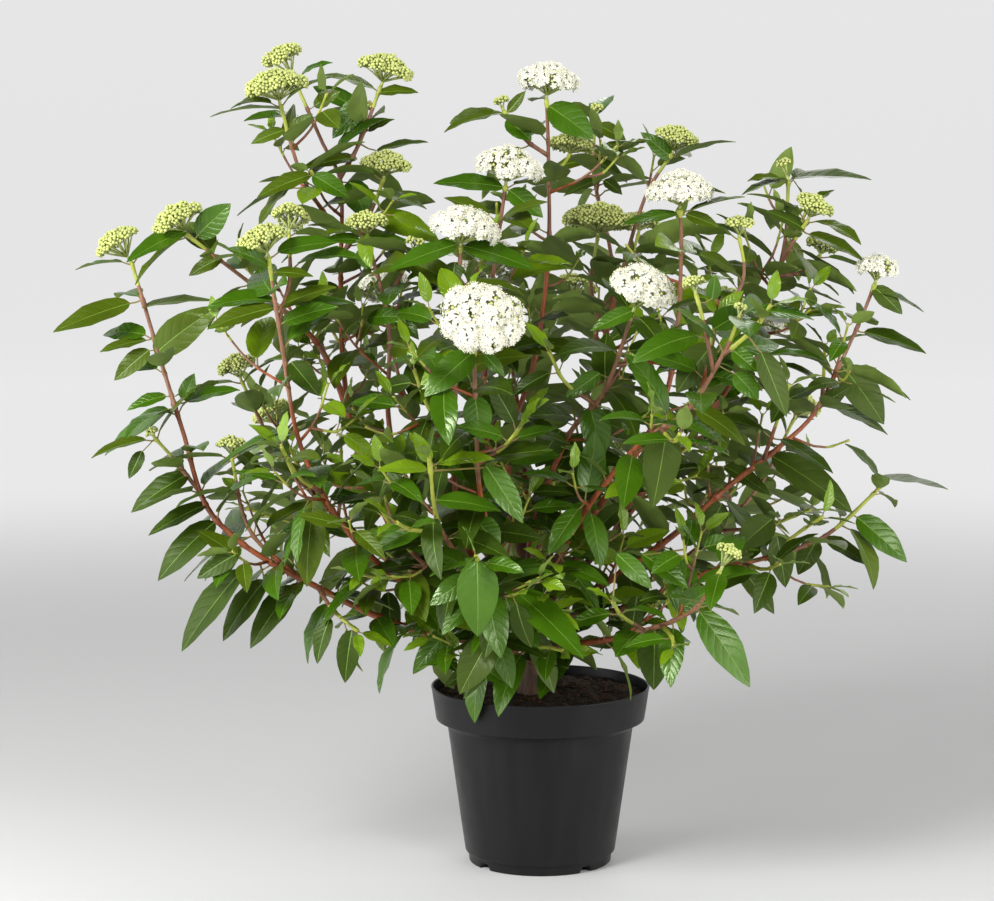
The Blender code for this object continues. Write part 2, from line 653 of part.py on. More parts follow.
def trunk_point(place):
    """A point of the trunk's middle line: upright at the foot, and leaning more on the way up."""
    lean = Vector((TRUNK_TIP.x - TRUNK_FOOT.x, TRUNK_TIP.y - TRUNK_FOOT.y, 0))
    return TRUNK_FOOT + lean * place**2 + UP * (TRUNK_TIP.z - TRUNK_FOOT.z) * place


def trunk_pairs(more=0.0):
    """The trunk's (point, radius) pairs: a root flare, then a true taper."""
    rise = TRUNK_TIP.z - TRUNK_FOOT.z
    flare = FLARE_HEIGHT / rise
    pairs = []
    for place in (0, 0.35 * flare, flare, 2 * flare, 0.6, 1 - STUB / rise, 1):
        radius = TRUNK_LOW + (TRUNK_HIGH - TRUNK_LOW) * place
        spread = max(0.0, 1 - place / (2 * flare))
        radius += (TRUNK_FLARE - TRUNK_LOW) * spread**2 + more
        pairs.append((trunk_point(place), radius))
    return pairs


# ---------------------------------------------------------------- leaves and flower heads


def leaf_mesh(length, fold, bend, thickness):
    """A thin pointed blade, folded up along its midrib and bent down towards its tip."""
    bm = bmesh.new()
    bmesh.ops.create_uvsphere(bm, u_segments=4, v_segments=2, radius=1)
    for vertex in bm.verts:
        x, y, z = vertex.co
        along = LEAF_WIDEST if abs(x) < 0.5 else 0.5 + 0.5 * x
        side = LEAF_HALF_WIDTH * y
        lift = 0.5 * z * thickness / length + fold * abs(side) - bend * along**2
        vertex.co = Vector((along, side, lift)) * length
    return mesh_from(bm, "leaf")


def head_mesh(base, top, rng):
    """A flat-topped flower head: rays that spread from one point, and a lumpy dome over them."""
    axis = Vector(top.centre) - base
    rise = axis.length
    bm = bmesh.new()
    sides, rings = (8, 4) if top.width > SMALL_HEAD else (6, 3)
    bmesh.ops.create_uvsphere(bm, u_segments=sides, v_segments=rings, radius=1)
    half = 0.5 * top.width
    for vertex in bm.verts:
        x, y, z = vertex.co
        lump = rng.uniform(0.93, 1.07)
        if z < -0.9:
            height = -HEAD_SINK
        elif z < -0.1:
            height = rise * HEAD_UNDERSIDE
        else:
            height = rise + HEAD_DOME * half * z * lump
        vertex.co = Vector((x * half * lump, y * half * lump, height))
    turn = UP.rotation_difference(axis.normalized()).to_matrix().to_4x4()
    bm.transform(Matrix.Translation(base) @ turn)
    mesh = mesh_from(bm, "head")
    mesh.shade_smooth()
    return mesh


def placed(point, along, up):
    """The matrix that puts a leaf's root at point, its length along and its face up."""
    across = up.cross(along).normalized()
    face = along.cross(across).normalized()
    turn = Matrix((along, across, face)).transposed().to_4x4()
    return Matrix.Translation(point) @ turn


class Room:
    """What stands in the crown already, so that a new leaf or twig can keep clear of it."""

    def __init__(self):
        self.solids = []

    def shape(self, points, faces):
        """A shape's middle, its reach from there and its search tree."""
        middle = sum(points, Vector()) / len(points)
        reach = max((point - middle).length for point in points)
        return middle, reach, BVHTree.FromPolygons(points, faces)

    def add(self, mesh, owner):
        points = [vertex.co.copy() for vertex in mesh.vertices]
        faces = [tuple(face.vertices) for face in mesh.polygons]
        self.solids.append((*self.shape(points, faces), owner))

    def free(self, points, faces, owners):
        """True where the closed shape meets nothing but what the given owners hold."""
        middle, reach, tree = self.shape(points, faces)
        for centre, span, other, owner in self.solids:
            if owner in owners or (centre - middle).length > reach + span:
                continue
            if tree.overlap(other):
                return False
        return True


def outward(way, turn):
    """A level direction at this turn about Z, made square to the stem's own way."""
    level = Vector((math.cos(turn), math.sin(turn), 0))
    return (level - way * level.dot(way)).normalized()


def try_leaf(point, way, turn, scale, droop, room, owners, rng):
    """A leaf's mesh and matrix where one of a few poses is free, or None."""
    for attempt, swing in enumerate(LEAF_SWINGS):
        length = LEAF_LENGTH * scale * rng.uniform(0.9, 1.08)
        if attempt >= FULL_LEAF_TRIES:
            length *= SHORT_LEAF
        out = outward(way, turn + swing + rng.uniform(-0.2, 0.2))
        spread = math.radians(rng.uniform(55, 85))
        along = out * math.sin(spread) + way * math.cos(spread)
        along = (along - UP * (droop + rng.uniform(0.05, 0.5))).normalized()
        roll = Matrix.Rotation(rng.uniform(-LEAF_ROLL, LEAF_ROLL), 3, along)
        matrix = placed(point, along, roll @ (UP + out * 0.5))
        fold = rng.uniform(0.15, 0.4)
        bend = rng.uniform(0.10, 0.26)
        fat = leaf_mesh(length * 1.02, fold, bend, LEAF_THICKNESS + 2 * LEAF_ROOM)
        points = [matrix @ vertex.co for vertex in fat.vertices]
        faces = [tuple(face.vertices) for face in fat.polygons]
        bpy.data.meshes.remove(fat)
        if min(place.z for place in points) > LEAF_FLOOR and room.free(points, faces, owners):
            return leaf_mesh(length, fold, bend, LEAF_THICKNESS), matrix
    return None


# ---------------------------------------------------------------- the plant


class Plant:
    """Grows every limb first, then every mass round them."""

    def __init__(self, collection, looks):
        self.collection = collection
        self.looks = looks
        self.room = Room()
        self.axes = {}
        self.stems = {}
        self.fat = {}
        self.cutters = new_collection("cutters")
        self.loose = new_collection("loose")
        self.pieces = {}

    def make_trunk(self):
        made = tube("trunk", trunk_pairs(), TRUNK_SIDES, self.collection, self.looks["bark"])
        self.room.add(made.data, "trunk")
        middle_line = [trunk_point(place) for place in (0, 0.25, 0.5, 0.75, 0.98, 1)]
        self.axes["trunk"] = Axis(middle_line, TRUNK_LOW, TRUNK_HIGH)
        self.fat["trunk"] = trunk_pairs(CLEARANCE)

    def cut_clear(self, thing, parent):
        """Cuts the foot of a limb to its parent's side, a clearance away."""
        sides = TRUNK_SIDES if parent == "trunk" else BOUGH_SIDES
        tube("parent_cutter", self.fat[parent], sides, self.cutters, self.looks["bark"])
        boolean(thing, "DIFFERENCE", self.cutters)

    def start_of(self, shoot):
        """Where a shoot's axis starts: on its parent's axis, or at its tip."""
        parent = self.axes[shoot.parent]
        if shoot.foot is None:
            point, _ = parent.at(parent.length)
            return point
        return parent.at(parent.at_height(shoot.foot))[0]

    def make_bough(self, shoot):
        """The bare foot of a shoot, up to where its leaves begin."""
        start = self.start_of(shoot)
        leads = shoot.foot is None
        radius = BOUGH_RADIUS
        route = [start, *(Vector(point) for point in shoot.route)]
        if leads:
            radius = TRUNK_HIGH
            route.insert(1, start + (start - trunk_point(0.98)).normalized() * LEADER_STUB)
        elif shoot.parent != "trunk":
            radius = BOUGH_TIP_RADIUS
        axis = route_axis(route, radius, STEM_TIP_RADIUS)
        self.axes[shoot.name] = axis
        if shoot.bare == 0:
            thin = route_axis(route, FORK_RADIUS, TWIG_RADIUS)
            self.stems[shoot.name] = thin.part(0, thin.length, TWIG_STEP)
            return
        end = axis.nearest(Vector(shoot.route[shoot.bare - 1]))
        name = shoot.name + "_bough"
        bough = axis.part(0, end, BOUGH_STEP, leads, True)
        self.stems[shoot.name] = axis.part(end, axis.length, TWIG_STEP, True)
        made = tube(name, bough.pairs(), BOUGH_SIDES, self.collection, self.looks["bark"])
        self.fat[shoot.name] = bough.pairs(CLEARANCE)
        if not leads:
            self.cut_clear(made, shoot.parent)
        self.room.add(made.data, name)

    def make_stem(self, shoot):
        """A mass's stem, its forks and its flower heads, as loose pieces to be joined."""
        rng = random.Random(shoot.name)
        stem = self.stems[shoot.name]
        pieces = [self.add_twig(shoot.name, stem, 0)]
        lines = [(stem, FIRST_PAIR if shoot.bare else FIRST_PAIR_ON_TRUNK, 0)]
        self.add_head(shoot, shoot.top, stem, pieces, rng)
        for number, fork in enumerate(shoot.forks, 1):
            foot = Vector(fork.route[0])
            near = min((line.at(line.nearest(foot))[0] for line, _, _ in lines),
                       key=lambda point: (point - foot).length)
            branch = route_axis([near, *fork.route[1:]], FORK_RADIUS, TWIG_RADIUS)
            branch = branch.part(0, branch.length, TWIG_STEP)
            pieces.append(self.add_twig(shoot.name, branch, number))
            lines.append((branch, FIRST_PAIR, number))
            self.add_head(shoot, fork.top, branch, pieces, rng)
        self.add_side_twigs(shoot, lines, pieces, rng)
        self.pieces[shoot.name] = (pieces, lines)

    def add_twig(self, name, axis, number):
        made = tube("twig", axis.pairs(), TWIG_SIDES, self.loose, self.looks["bark"])
        self.room.add(made.data, (name, number))
        return made

    def add_head(self, shoot, top, axis, pieces, rng):
        if top is None:
            return
        base, _ = axis.at(axis.length)
        made = add_object("head", head_mesh(base, top, rng), self.loose, self.looks[top.kind])
        self.room.add(made.data, (shoot.name, "head"))
        pieces.append(made)

    def add_side_twigs(self, shoot, lines, pieces, rng):
        """Short twigs in the axils of a stem, wherever there is room for one."""
        for axis, first, number in list(lines):
            distance = first + rng.uniform(0.02, TWIG_EVERY)
            while distance < axis.length - TWIG_FREE_TIP:
                point, way = axis.at(distance)
                for _ in range(TWIG_TRIES):
                    out = outward(way, rng.uniform(0, 2 * math.pi))
                    lean = (out + way * rng.uniform(0.5, 0.9)).normalized()
                    end = point + lean * TWIG_LENGTH * rng.uniform(0.75, 1.15)
                    middle = point.lerp(end, 0.5) - UP * TWIG_SAG
                    branch = Axis([point, middle, end + UP * TWIG_LIFT], TWIG_RADIUS, TWIG_TIP_RADIUS)
                    if self.way_is_free(branch, (shoot.name, number)):
                        own_number = len(lines) + FIRST_SIDE_TWIG
                        pieces.append(self.add_twig(shoot.name, branch, own_number))
                        lines.append((branch, FIRST_PAIR, own_number))
                        break
                distance += TWIG_EVERY * rng.uniform(0.8, 1.3)

    def way_is_free(self, axis, own):
        """True where a thick ribbon along the axis meets nothing but its own stem."""
        wide = Vector((TWIG_ROOM, 0, 0))
        deep = Vector((0, TWIG_ROOM, 0))
        middle = 0.5 * axis.length
        for start, end in ((TWIG_OWN_STEM, middle), (middle, axis.length)):
            points = []
            for place in (start, end):
                point, _ = axis.at(place)
                points += [point + wide, point - wide + deep, point - wide - deep]
            faces = [(0, 1, 2), (5, 4, 3), (0, 3, 4, 1), (1, 4, 5, 2), (2, 5, 3, 0)]
            if not self.room.free(points, faces, {own}):
                return False
        return True

    def make_leaves(self, shoot):
        """Opposite pairs from the tip of each twig back to its foot."""
        rng = random.Random(shoot.name + " leaves")
        pieces, lines = self.pieces[shoot.name]
        for axis, first, number in lines:
            tip, _ = axis.at(axis.length)
            turn = math.atan2(tip.y, tip.x) + rng.uniform(-0.3, 0.3)
            distance = axis.length - TIP_LEAF_GAP
            scale = TIP_LEAF_SCALE
            while distance > first:
                point, way = axis.at(distance)
                twig = (shoot.name, number)
                pair = (shoot.name, number, round(distance, 4))
                droop = MOST_DROOP * min(1, (axis.length - distance) / DROOP_SPAN)
                for side in (0, math.pi):
                    found = try_leaf(point, way, turn + side, scale, droop, self.room, {twig, pair}, rng)
                    if found:
                        mesh, matrix = found
                        mesh.transform(matrix)
                        pieces.append(add_object("leaf", mesh, self.loose, self.looks["leaf"]))
                        self.room.add(mesh, pair)
                distance -= PAIR_SPACING * rng.uniform(0.8, 1.15)
                turn += math.pi / 2 + rng.uniform(-0.3, 0.3)
                scale = min(1.0, scale + SCALE_STEP)

    def join(self, shoot):
        """One solid of a mass: its stem with all else fused on."""
        pieces, _ = self.pieces[shoot.name]
        stem = pieces[0]
        self.loose.objects.unlink(stem)
        self.collection.objects.link(stem)
        operands = new_collection("operands_" + shoot.name)
        for piece in pieces[1:]:
            self.loose.objects.unlink(piece)
            operands.objects.link(piece)
        stem.name = shoot.name
        whole = sum(volume_of(piece.data) for piece in pieces)
        boolean(stem, "UNION", operands, JOINED_SHARE * whole)
        bpy.data.collections.remove(operands)
        if shoot.bare == 0:
            self.cut_clear(stem, "trunk")


def main():
    clear_scene()
    collection = new_collection("potted_laurustinus")
    looks = {
        "pot": material("pot_plastic", (0.035, 0.036, 0.038), 0.5),
        "soil": material("compost", (0.035, 0.018, 0.010), 0.95),
        "bark": material("bark", (0.24, 0.10, 0.06), 0.6),
        "leaf": material("leaf", (0.045, 0.14, 0.015), 0.35),
        "green": material("buds", (0.42, 0.48, 0.12), 0.6),
        "white": material("blossom", (0.86, 0.86, 0.78), 0.6),
    }
    plant = Plant(collection, looks)
    make_pot(collection, plant.cutters, looks["pot"])
    make_soil(collection, looks["soil"], random.Random("soil"))
    for name in ("pot", "soil"):
        plant.room.add(bpy.data.objects[name].data, name)
    plant.make_trunk()
    order = sorted(SHOOTS, key=lambda shoot: shoot.parent != "trunk")
    for shoot in order:
        plant.make_bough(shoot)
    for shoot in order:
        plant.make_stem(shoot)
    for shoot in order:
        plant.make_leaves(shoot)
    for shoot in order:
        plant.join(shoot)


main()
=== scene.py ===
"""The looks of a laurustinus in its nursery pot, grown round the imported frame.

Metres, +Z up, -Y is the front. The limbs and the rule that grows from them are the frame's own,
carried to finer twigs, real leaves, florets and buds.
"""

import bisect
import json
import math
import random
from collections import namedtuple

import bpy
import numpy as np
from mathutils import Matrix, Vector, noise
from mathutils.bvhtree import BVHTree
from mathutils.geometry import interpolate_bezier

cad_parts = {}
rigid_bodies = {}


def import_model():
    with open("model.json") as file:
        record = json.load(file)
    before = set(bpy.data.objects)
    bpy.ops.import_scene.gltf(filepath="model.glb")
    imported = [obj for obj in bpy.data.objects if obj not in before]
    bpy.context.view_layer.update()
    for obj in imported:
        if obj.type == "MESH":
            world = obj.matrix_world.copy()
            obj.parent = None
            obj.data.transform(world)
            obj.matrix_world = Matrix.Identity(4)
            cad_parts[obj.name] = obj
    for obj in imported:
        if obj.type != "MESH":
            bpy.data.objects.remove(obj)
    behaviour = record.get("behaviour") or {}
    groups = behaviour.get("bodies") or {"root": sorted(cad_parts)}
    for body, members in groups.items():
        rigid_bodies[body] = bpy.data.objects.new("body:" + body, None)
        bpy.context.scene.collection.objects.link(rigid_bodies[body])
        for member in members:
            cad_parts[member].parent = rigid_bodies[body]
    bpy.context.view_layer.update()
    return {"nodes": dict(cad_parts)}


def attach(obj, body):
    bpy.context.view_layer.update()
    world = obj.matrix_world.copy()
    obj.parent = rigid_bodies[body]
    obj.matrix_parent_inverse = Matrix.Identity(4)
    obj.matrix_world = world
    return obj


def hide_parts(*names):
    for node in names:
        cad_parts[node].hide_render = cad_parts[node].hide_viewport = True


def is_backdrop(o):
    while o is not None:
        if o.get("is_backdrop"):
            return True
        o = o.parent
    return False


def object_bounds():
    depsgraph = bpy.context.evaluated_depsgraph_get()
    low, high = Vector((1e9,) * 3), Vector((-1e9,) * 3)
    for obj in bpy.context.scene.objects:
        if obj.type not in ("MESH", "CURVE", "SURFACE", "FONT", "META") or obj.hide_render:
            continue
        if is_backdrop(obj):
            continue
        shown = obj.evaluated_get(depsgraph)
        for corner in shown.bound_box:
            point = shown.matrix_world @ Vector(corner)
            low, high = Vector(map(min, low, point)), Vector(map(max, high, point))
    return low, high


CLEARANCE = 0.0003  # between solids that touch on the real plant
UP = Vector((0, 0, 1))
GOLDEN = math.pi * (3 - math.sqrt(5))  # turn between neighbours in an even spread

# Pot: outer radii, from the rim down to the foot
POT_HEIGHT = 0.183
RIM_RADIUS = 0.1125
RIM_LOW_RADIUS = 0.1075
RIM_DEPTH = 0.034
SHOULDER_DEPTH = 0.008
WALL_TOP_RADIUS = 0.0955
WALL_LOW_RADIUS = 0.0775
FOOT_RADIUS = 0.0734
FOOT_HEIGHT = 0.012
WALL = 0.0018
FOOT_EDGE, WALL_EDGE, BAND_EDGE, RIM_EDGE = 0.0012, 0.0020, 0.0014, 0.0011  # radii of the rolled edges
FOOT_RING = 0.010  # width of the ring that the pot stands on
FLOOR_RISE = 0.0035  # of the floor's underside inside that ring
INNER_FLOOR = 0.120  # height at which the inside ends, hidden by the compost
NOTCH_WIDTH = 0.014
NOTCH_HEIGHT = 0.006
NOTCH_TURNS = (-142, -52, 38, 128)  # degrees about +Z, from +X
ROUND_STEPS = 144

# Compost
SOIL_TOP = 0.170
SOIL_RADIUS = 0.1075
SOIL_DEPTH = 0.018
SOIL_HEAP = 0.0055  # of loose compost over the solid's top
CRUMBS = 1500
CRUMB_SIZES = (0.0007, 0.0010, 0.0014, 0.0020, 0.0030)
SHREDS = 0.4  # share of the crumbs that are bark

# Trunk
TRUNK_FOOT = Vector((-0.006, 0, SOIL_TOP + CLEARANCE))
TRUNK_TIP = Vector((-0.016, 0.006, 0.312))
TRUNK_FLARE = 0.019  # radius at the compost
TRUNK_LOW = 0.0130
TRUNK_HIGH = 0.0085
TRUNK_CROWN = 0.98  # share of its height where its leader starts to bend
FLARE_HEIGHT = 0.022
TRUNK_STEPS = 90
TRUNK_SIDES = 44
RIDGES, FINE_RIDGES = 0.055, 0.03  # of its bark, in shares of its radius
BARK_SINK = 0.03  # so that the ridges stay near the solid's own radius
ROOT_LOBES = 5
ROOT_SWELL = 0.10
ROOT_HEIGHT = 0.03

# Limbs and twigs
BOUGH_RADIUS = 0.0045
TAPER = 1.5  # limbs thin faster near their feet, as the power of what is left of their length
BOUGH_TIP_RADIUS = 0.0036
STEM_TIP_RADIUS = 0.0018
FORK_RADIUS = 0.0024
COLLAR = 0.022  # of swollen bark where a bough leaves its parent
COLLAR_SWELL = 0.35
BOUGH_SIDES = 14
BOUGH_STEP = 0.004
BOUGH_RIDGES = 0.10
TWIG_RADIUS = 0.0017
TWIG_TIP_RADIUS = 0.0011
LEADER_RADIUS = 0.0036  # of the trunk's leader, once past its thick foot
LEADER_NECK = 0.045
FRONT_BARE = 0.03  # bare foot of a mass that stands on the trunk

# Camera
CAMERA_PLACE = Vector((-0.0446, -2.8, 0.735))
CAMERA_DIP = math.radians(6.31)
CAMERA_LENS = 99.96
CAMERA_SENSOR = 36
PHOTO_WIDTH, PHOTO_HEIGHT = 994, 901

Top = namedtuple("Top", "kind centre width")
Fork = namedtuple("Fork", "route top")
Shoot = namedtuple("Shoot", "name parent foot route bare top forks")


def metres(row):
    """A row of millimetres, or rows of them, in metres."""
    return tuple(metres(value) if isinstance(value, tuple) else value / 1000 for value in row)


def white(x, y, z, width):
    return Top("white", metres((x, y, z)), width / 1000)


def green(x, y, z, width):
    return Top("green", metres((x, y, z)), width / 1000)


def fork(*route, top=None):
    return Fork(metres(route), top)


def shoot(name, parent, foot, bare, top, route, *forks):
    return Shoot(name, parent, foot and foot / 1000, metres(route), bare, top, forks)


# In millimetres. Each shoot leaves its parent at the height foot, or at the parent's tip where foot is None,
# and runs through its route. Its first bare points are its bough, and the rest is the stem of its mass.
# A stem or fork whose top is None has leaves alone at its tip.
SHOOTS = (
    shoot("left_low", "trunk", 224, 1, green(-424, -60, 642, 45), ((-115, -50, 245), (-210, -80, 290),
          (-322, -90, 365), (-357, -75, 455), (-407, -60, 620)),
          fork((-245, -86, 303), (-290, -85, 355), (-308, -80, 428), top=green(-308, -80, 443, 28)),
          fork((-334, -85, 395), (-366, -85, 428), (-383, -85, 447), top=green(-386, -85, 455, 16)),
          fork((-225, -83, 294), (-205, -120, 280), (-180, -145, 264))),
    shoot("left_mid", "trunk", 268, 1, green(-269, -160, 649, 49), ((-100, -60, 280), (-180, -130, 348),
          (-232, -150, 440), (-250, -160, 540), (-263, -160, 630)),
          fork((-257, -160, 565), (-245, -130, 606), (-247, -110, 650), top=green(-245, -100, 668, 38)),
          fork((-215, -146, 400), (-235, -175, 420), (-250, -190, 450))),
    shoot("top_left", "trunk", 291, 3, green(-264, 30, 827, 42), ((-110, -30, 300), (-180, -20, 410),
          (-200, 0, 500), (-203, 0, 600), (-203, 0, 700), (-220, 10, 735), (-250, 30, 800)),
          fork((-204, 0, 645), (-238, -35, 702), (-259, -50, 775), top=green(-263, -50, 797, 60)),
          fork((-203, 0, 700), (-185, 10, 735), (-162, 20, 795), top=green(-155, 20, 815, 53)),
          fork((-202, 0, 625), (-173, -10, 666), (-158, -20, 702), top=green(-156, -20, 719, 49)),
          fork((-183, 11, 740), (-181, 30, 755), (-178, 40, 768), top=green(-177, 42, 776, 18))),
    shoot("left_upper", "top_left", 470, 1, green(-361, -80, 666, 49), ((-225, -20, 535), (-270, -50, 582),
          (-330, -75, 632), (-350, -80, 648))),
    shoot("inner_left", "top_left", 330, 1, green(-174, -60, 662, 43), ((-142, -60, 390), (-153, -66, 470),
          (-152, -65, 555), (-173, -60, 645)),
          fork((-156, -64, 580), (-138, -70, 610), (-128, -72, 630), top=green(-125, -72, 640, 20))),
    shoot("centre_left", "trunk", 274, 1, white(-76, -120, 657, 74), ((-70, -80, 330), (-86, -110, 405),
          (-85, -120, 500), (-80, -120, 637)),
          fork((-86, -117, 450), (-110, -135, 480), (-125, -140, 520))),
    shoot("centre_front", "trunk", 259, 1, white(-57, -268, 580, 84), ((-40, -120, 325), (-60, -180, 400),
          (-64, -215, 465), (-66, -240, 548)),
          fork((-62, -200, 435), (-35, -215, 455), (-15, -222, 485))),
    shoot("centre_mid", "centre_top", 345, 1, white(-34, -30, 716, 71), ((-50, -12, 415), (-58, -28, 470),
          (-55, -30, 530), (-49, -30, 600), (-36, -30, 695))),
    shoot("centre_top", "trunk", None, 2, white(8, 40, 802, 66), ((-26, 18, 350), (-32, 30, 425),
          (-6, 40, 514), (8, 40, 620), (8, 40, 725), (6, 40, 782)),
          fork((8, 40, 725), (-17, 40, 742), (-38, 35, 770), top=green(-41, 35, 781, 18)),
          fork((8, 40, 700), (24, 52, 716), (31, 58, 727), top=green(33, 60, 737, 45))),
    shoot("back_centre", "trunk", 277, 1, green(63, 180, 776, 16), ((50, 115, 390), (72, 165, 520),
          (79, 180, 610), (60, 180, 700), (60, 180, 762)),
          fork((77, 175, 580), (100, 205, 610), (110, 220, 640), top=green(112, 224, 655, 40))),
    shoot("right_top_back", "trunk", 291, 1, green(144, 100, 745, 47), ((46, 66, 385), (66, 88, 520),
          (90, 100, 615), (113, 100, 687), (138, 100, 726)),
          fork((70, 90, 538), (54, 94, 585), (61, 98, 640), top=green(63, 100, 660, 69))),
    shoot("right_mid", "trunk", 293, 1, white(94, -184, 603, 69), ((-6, -80, 365), (26, -120, 455),
          (59, -150, 500), (84, -176, 575)),
          fork((50, -142, 487), (20, -165, 510), (5, -175, 540)),
          fork((70, -160, 525), (95, -140, 530), (115, -125, 550))),
    shoot("right_upper", "trunk", 280, 1, white(139, -30, 691, 71), ((58, -24, 370), (120, -32, 470),
          (136, -30, 545), (140, -30, 640), (138, -30, 672)),
          fork((131, -31, 510), (180, -35, 560), (203, -30, 605), (198, -30, 643),
               top=green(198, -30, 659, 29))),
    shoot("right_front", "trunk", 240, 1, green(181, -240, 587, 15), ((30, -120, 360), (91, -190, 453),
          (135, -210, 487), (169, -230, 546), (180, -240, 576)),
          fork((158, -224, 525), (147, -230, 575), (141, -224, 597), top=green(138, -220, 609, 23)),
          fork((166, -229, 540), (194, -236, 565), (210, -240, 588)),
          fork((110, -200, 468), (120, -235, 460), (125, -260, 470))),
    shoot("right_back", "trunk", 264, 1, green(250, 50, 718, 18), ((110, 35, 385), (187, 50, 473),
          (228, 50, 550), (251, 50, 630), (255, 50, 698)),
          fork((214, 50, 520), (243, 22, 610), (270, 2, 660), top=green(277, 0, 677, 40)),
          fork((245, 50, 600), (275, 60, 606), (290, 64, 622), top=green(294, 66, 634, 35))),
    shoot("right_far", "trunk", 250, 1, white(341, 0, 613, 48), ((60, -20, 288), (141, -20, 346),
          (183, -20, 385), (241, -20, 431), (277, -10, 464), (319, 0, 546), (339, 0, 596)),
          fork((225, -20, 419), (235, -55, 460), (245, -75, 500)),
          fork((285, -9, 478), (292, 35, 500), (296, 60, 530))),
    shoot("right_low", "trunk", 232, 1, None, ((100, -33, 274), (170, -40, 306), (235, -40, 323),
          (288, -32, 342), (350, -30, 398)),
          fork((236, -40, 323), (255, -55, 346), (282, -62, 366)),
          fork((205, -41, 315), (222, -80, 315), (235, -105, 325))),
    shoot("right_low_front", "trunk", 212, 1, green(177, -200, 353, 25), ((25, -60, 234), (80, -120, 255),
          (143, -180, 290), (168, -200, 332)),
          fork((115, -153, 273), (122, -190, 268), (124, -215, 262)),
          fork((100, -139, 265), (75, -175, 285), (66, -195, 302))),
    shoot("front_low_left", "trunk", 233, 1, None, ((-60, -120, 300), (-88, -180, 352), (-102, -214, 386),
          (-108, -238, 446)),
          fork((-96, -200, 370), (-125, -225, 375), (-140, -240, 385))),
    shoot("front_low", "trunk", 226, 0, None, ((-32, -90, 262), (-56, -190, 320), (-64, -262, 356)),
          fork((-48, -150, 298), (-20, -200, 318), (-5, -235, 330))),
    shoot("front_low_droop", "trunk", 205, 0, None, ((-26, -80, 230), (-44, -140, 252), (-50, -168, 262)),
          fork((-30, -95, 237), (0, -125, 245), (20, -145, 245))),
    shoot("mid_left_front", "trunk", 246, 1, None, ((-88, -94, 306), (-125, -150, 340), (-158, -200, 396)),
          fork((-108, -127, 315), (-150, -155, 318), (-175, -175, 325))),
    shoot("back_left", "trunk", 268, 1, white(-172, 224, 585, 66), ((-80, 80, 340), (-125, 135, 420),
          (-155, 185, 500), (-168, 215, 565)),
          fork((-145, 165, 465), (-205, 175, 510), (-235, 180, 560), top=green(-240, 182, 578, 42))),
    shoot("back_mid", "trunk", 254, 1, white(-52, 264, 608, 70), ((-14, 95, 370), (-22, 160, 455),
          (-35, 215, 530), (-48, 252, 590)),
          fork((-30, 195, 502), (20, 240, 520), (40, 272, 565), top=green(44, 280, 582, 45)),
          fork((-25, 172, 472), (-70, 175, 500), (-90, 175, 540))),
    shoot("back_right", "trunk", 250, 1, green(202, 220, 570, 50), ((80, 85, 330), (138, 135, 405),
          (178, 180, 480), (198, 212, 550)),
          fork((160, 160, 445), (210, 145, 480), (245, 142, 530), top=white(252, 142, 550, 60))),
    shoot("back_low_left", "trunk", 232, 1, green(-290, 198, 448, 45), ((-110, 68, 270), (-175, 115, 305),
          (-240, 160, 360), (-282, 192, 430)),
          fork((-215, 143, 338), (-215, 205, 365), (-218, 245, 415)),
          fork((-200, 133, 325), (-240, 100, 330), (-275, 85, 345))),
    shoot("back_low_right", "trunk", 236, 1, green(287, 188, 458, 45), ((100, 68, 272), (165, 112, 305),
          (235, 155, 365), (278, 182, 440)),
          fork((205, 137, 340), (210, 200, 365), (218, 240, 420)),
          fork((190, 127, 327), (240, 90, 335), (285, 75, 355))),
    shoot("back_low", "trunk", 217, 1, green(-13, 300, 433, 48), ((-8, 90, 248), (-4, 160, 280),
          (-8, 240, 340), (-12, 292, 415)),
          fork((-4, 185, 298), (65, 250, 325), (92, 290, 390), top=white(97, 298, 408, 60)),
          fork((-6, 200, 310), (-80, 245, 330), (-115, 275, 385))),
    shoot("left_back", "trunk", 252, 1, green(-318, 80, 508, 42), ((-115, 30, 290), (-195, 55, 335),
          (-270, 70, 410), (-312, 78, 490)),
          fork((-235, 62, 370), (-245, 20, 400), (-262, 0, 440)),
          fork((-225, 60, 360), (-270, 50, 350), (-305, 45, 360))),
)


# ---------------------------------------------------------------- meshes


class Batch:
    """Shapes gathered into one mesh. Each face has the number of its material."""

    def __init__(self):
        self.points = []
        self.faces = []
        self.slots = []
        self.places = []
        self.count = 0

    def add(self, points, faces, slots, places=None):
        """Points as rows of x, y, z, faces as lists of their numbers, and a place (u, v) for each point."""
        start = self.count
        self.points.append(np.asarray(points, float))
        self.count += len(points)
        self.faces += [tuple(i + start for i in face) for face in faces]
        self.slots += slots if isinstance(slots, list) else [slots] * len(faces)
        self.places.append(np.zeros((len(points), 2)) if places is None else places)

    def build(self, name, looks, smooth=True, sharp=None):
        """The mesh as an object. Edges that turn by more than sharp degrees stay crisp."""
        mesh = bpy.data.meshes.new(name)
        mesh.from_pydata(np.concatenate(self.points).tolist(), [], self.faces)
        for look in looks:
            mesh.materials.append(look)
        mesh.polygons.foreach_set("material_index", self.slots)
        corners = np.empty(len(mesh.loops), np.int32)
        mesh.loops.foreach_get("vertex_index", corners)
        places = np.concatenate(self.places)[corners]
        mesh.uv_layers.new(name="UVMap").data.foreach_set("uv", places.astype(np.float32).ravel())
        if smooth:
            mesh.shade_smooth()
        mesh.validate()
        if sharp:
            mesh.set_sharp_from_angle(angle=math.radians(sharp))
        made = bpy.data.objects.new(name, mesh)
        bpy.context.scene.collection.objects.link(made)
        return made


def finished(thing, slot, *nodes):
    """Rides a piece on the one body and hides the nodes that it stands for. Its slot is not used."""
    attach(thing, "root")
    if nodes:
        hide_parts(*nodes)


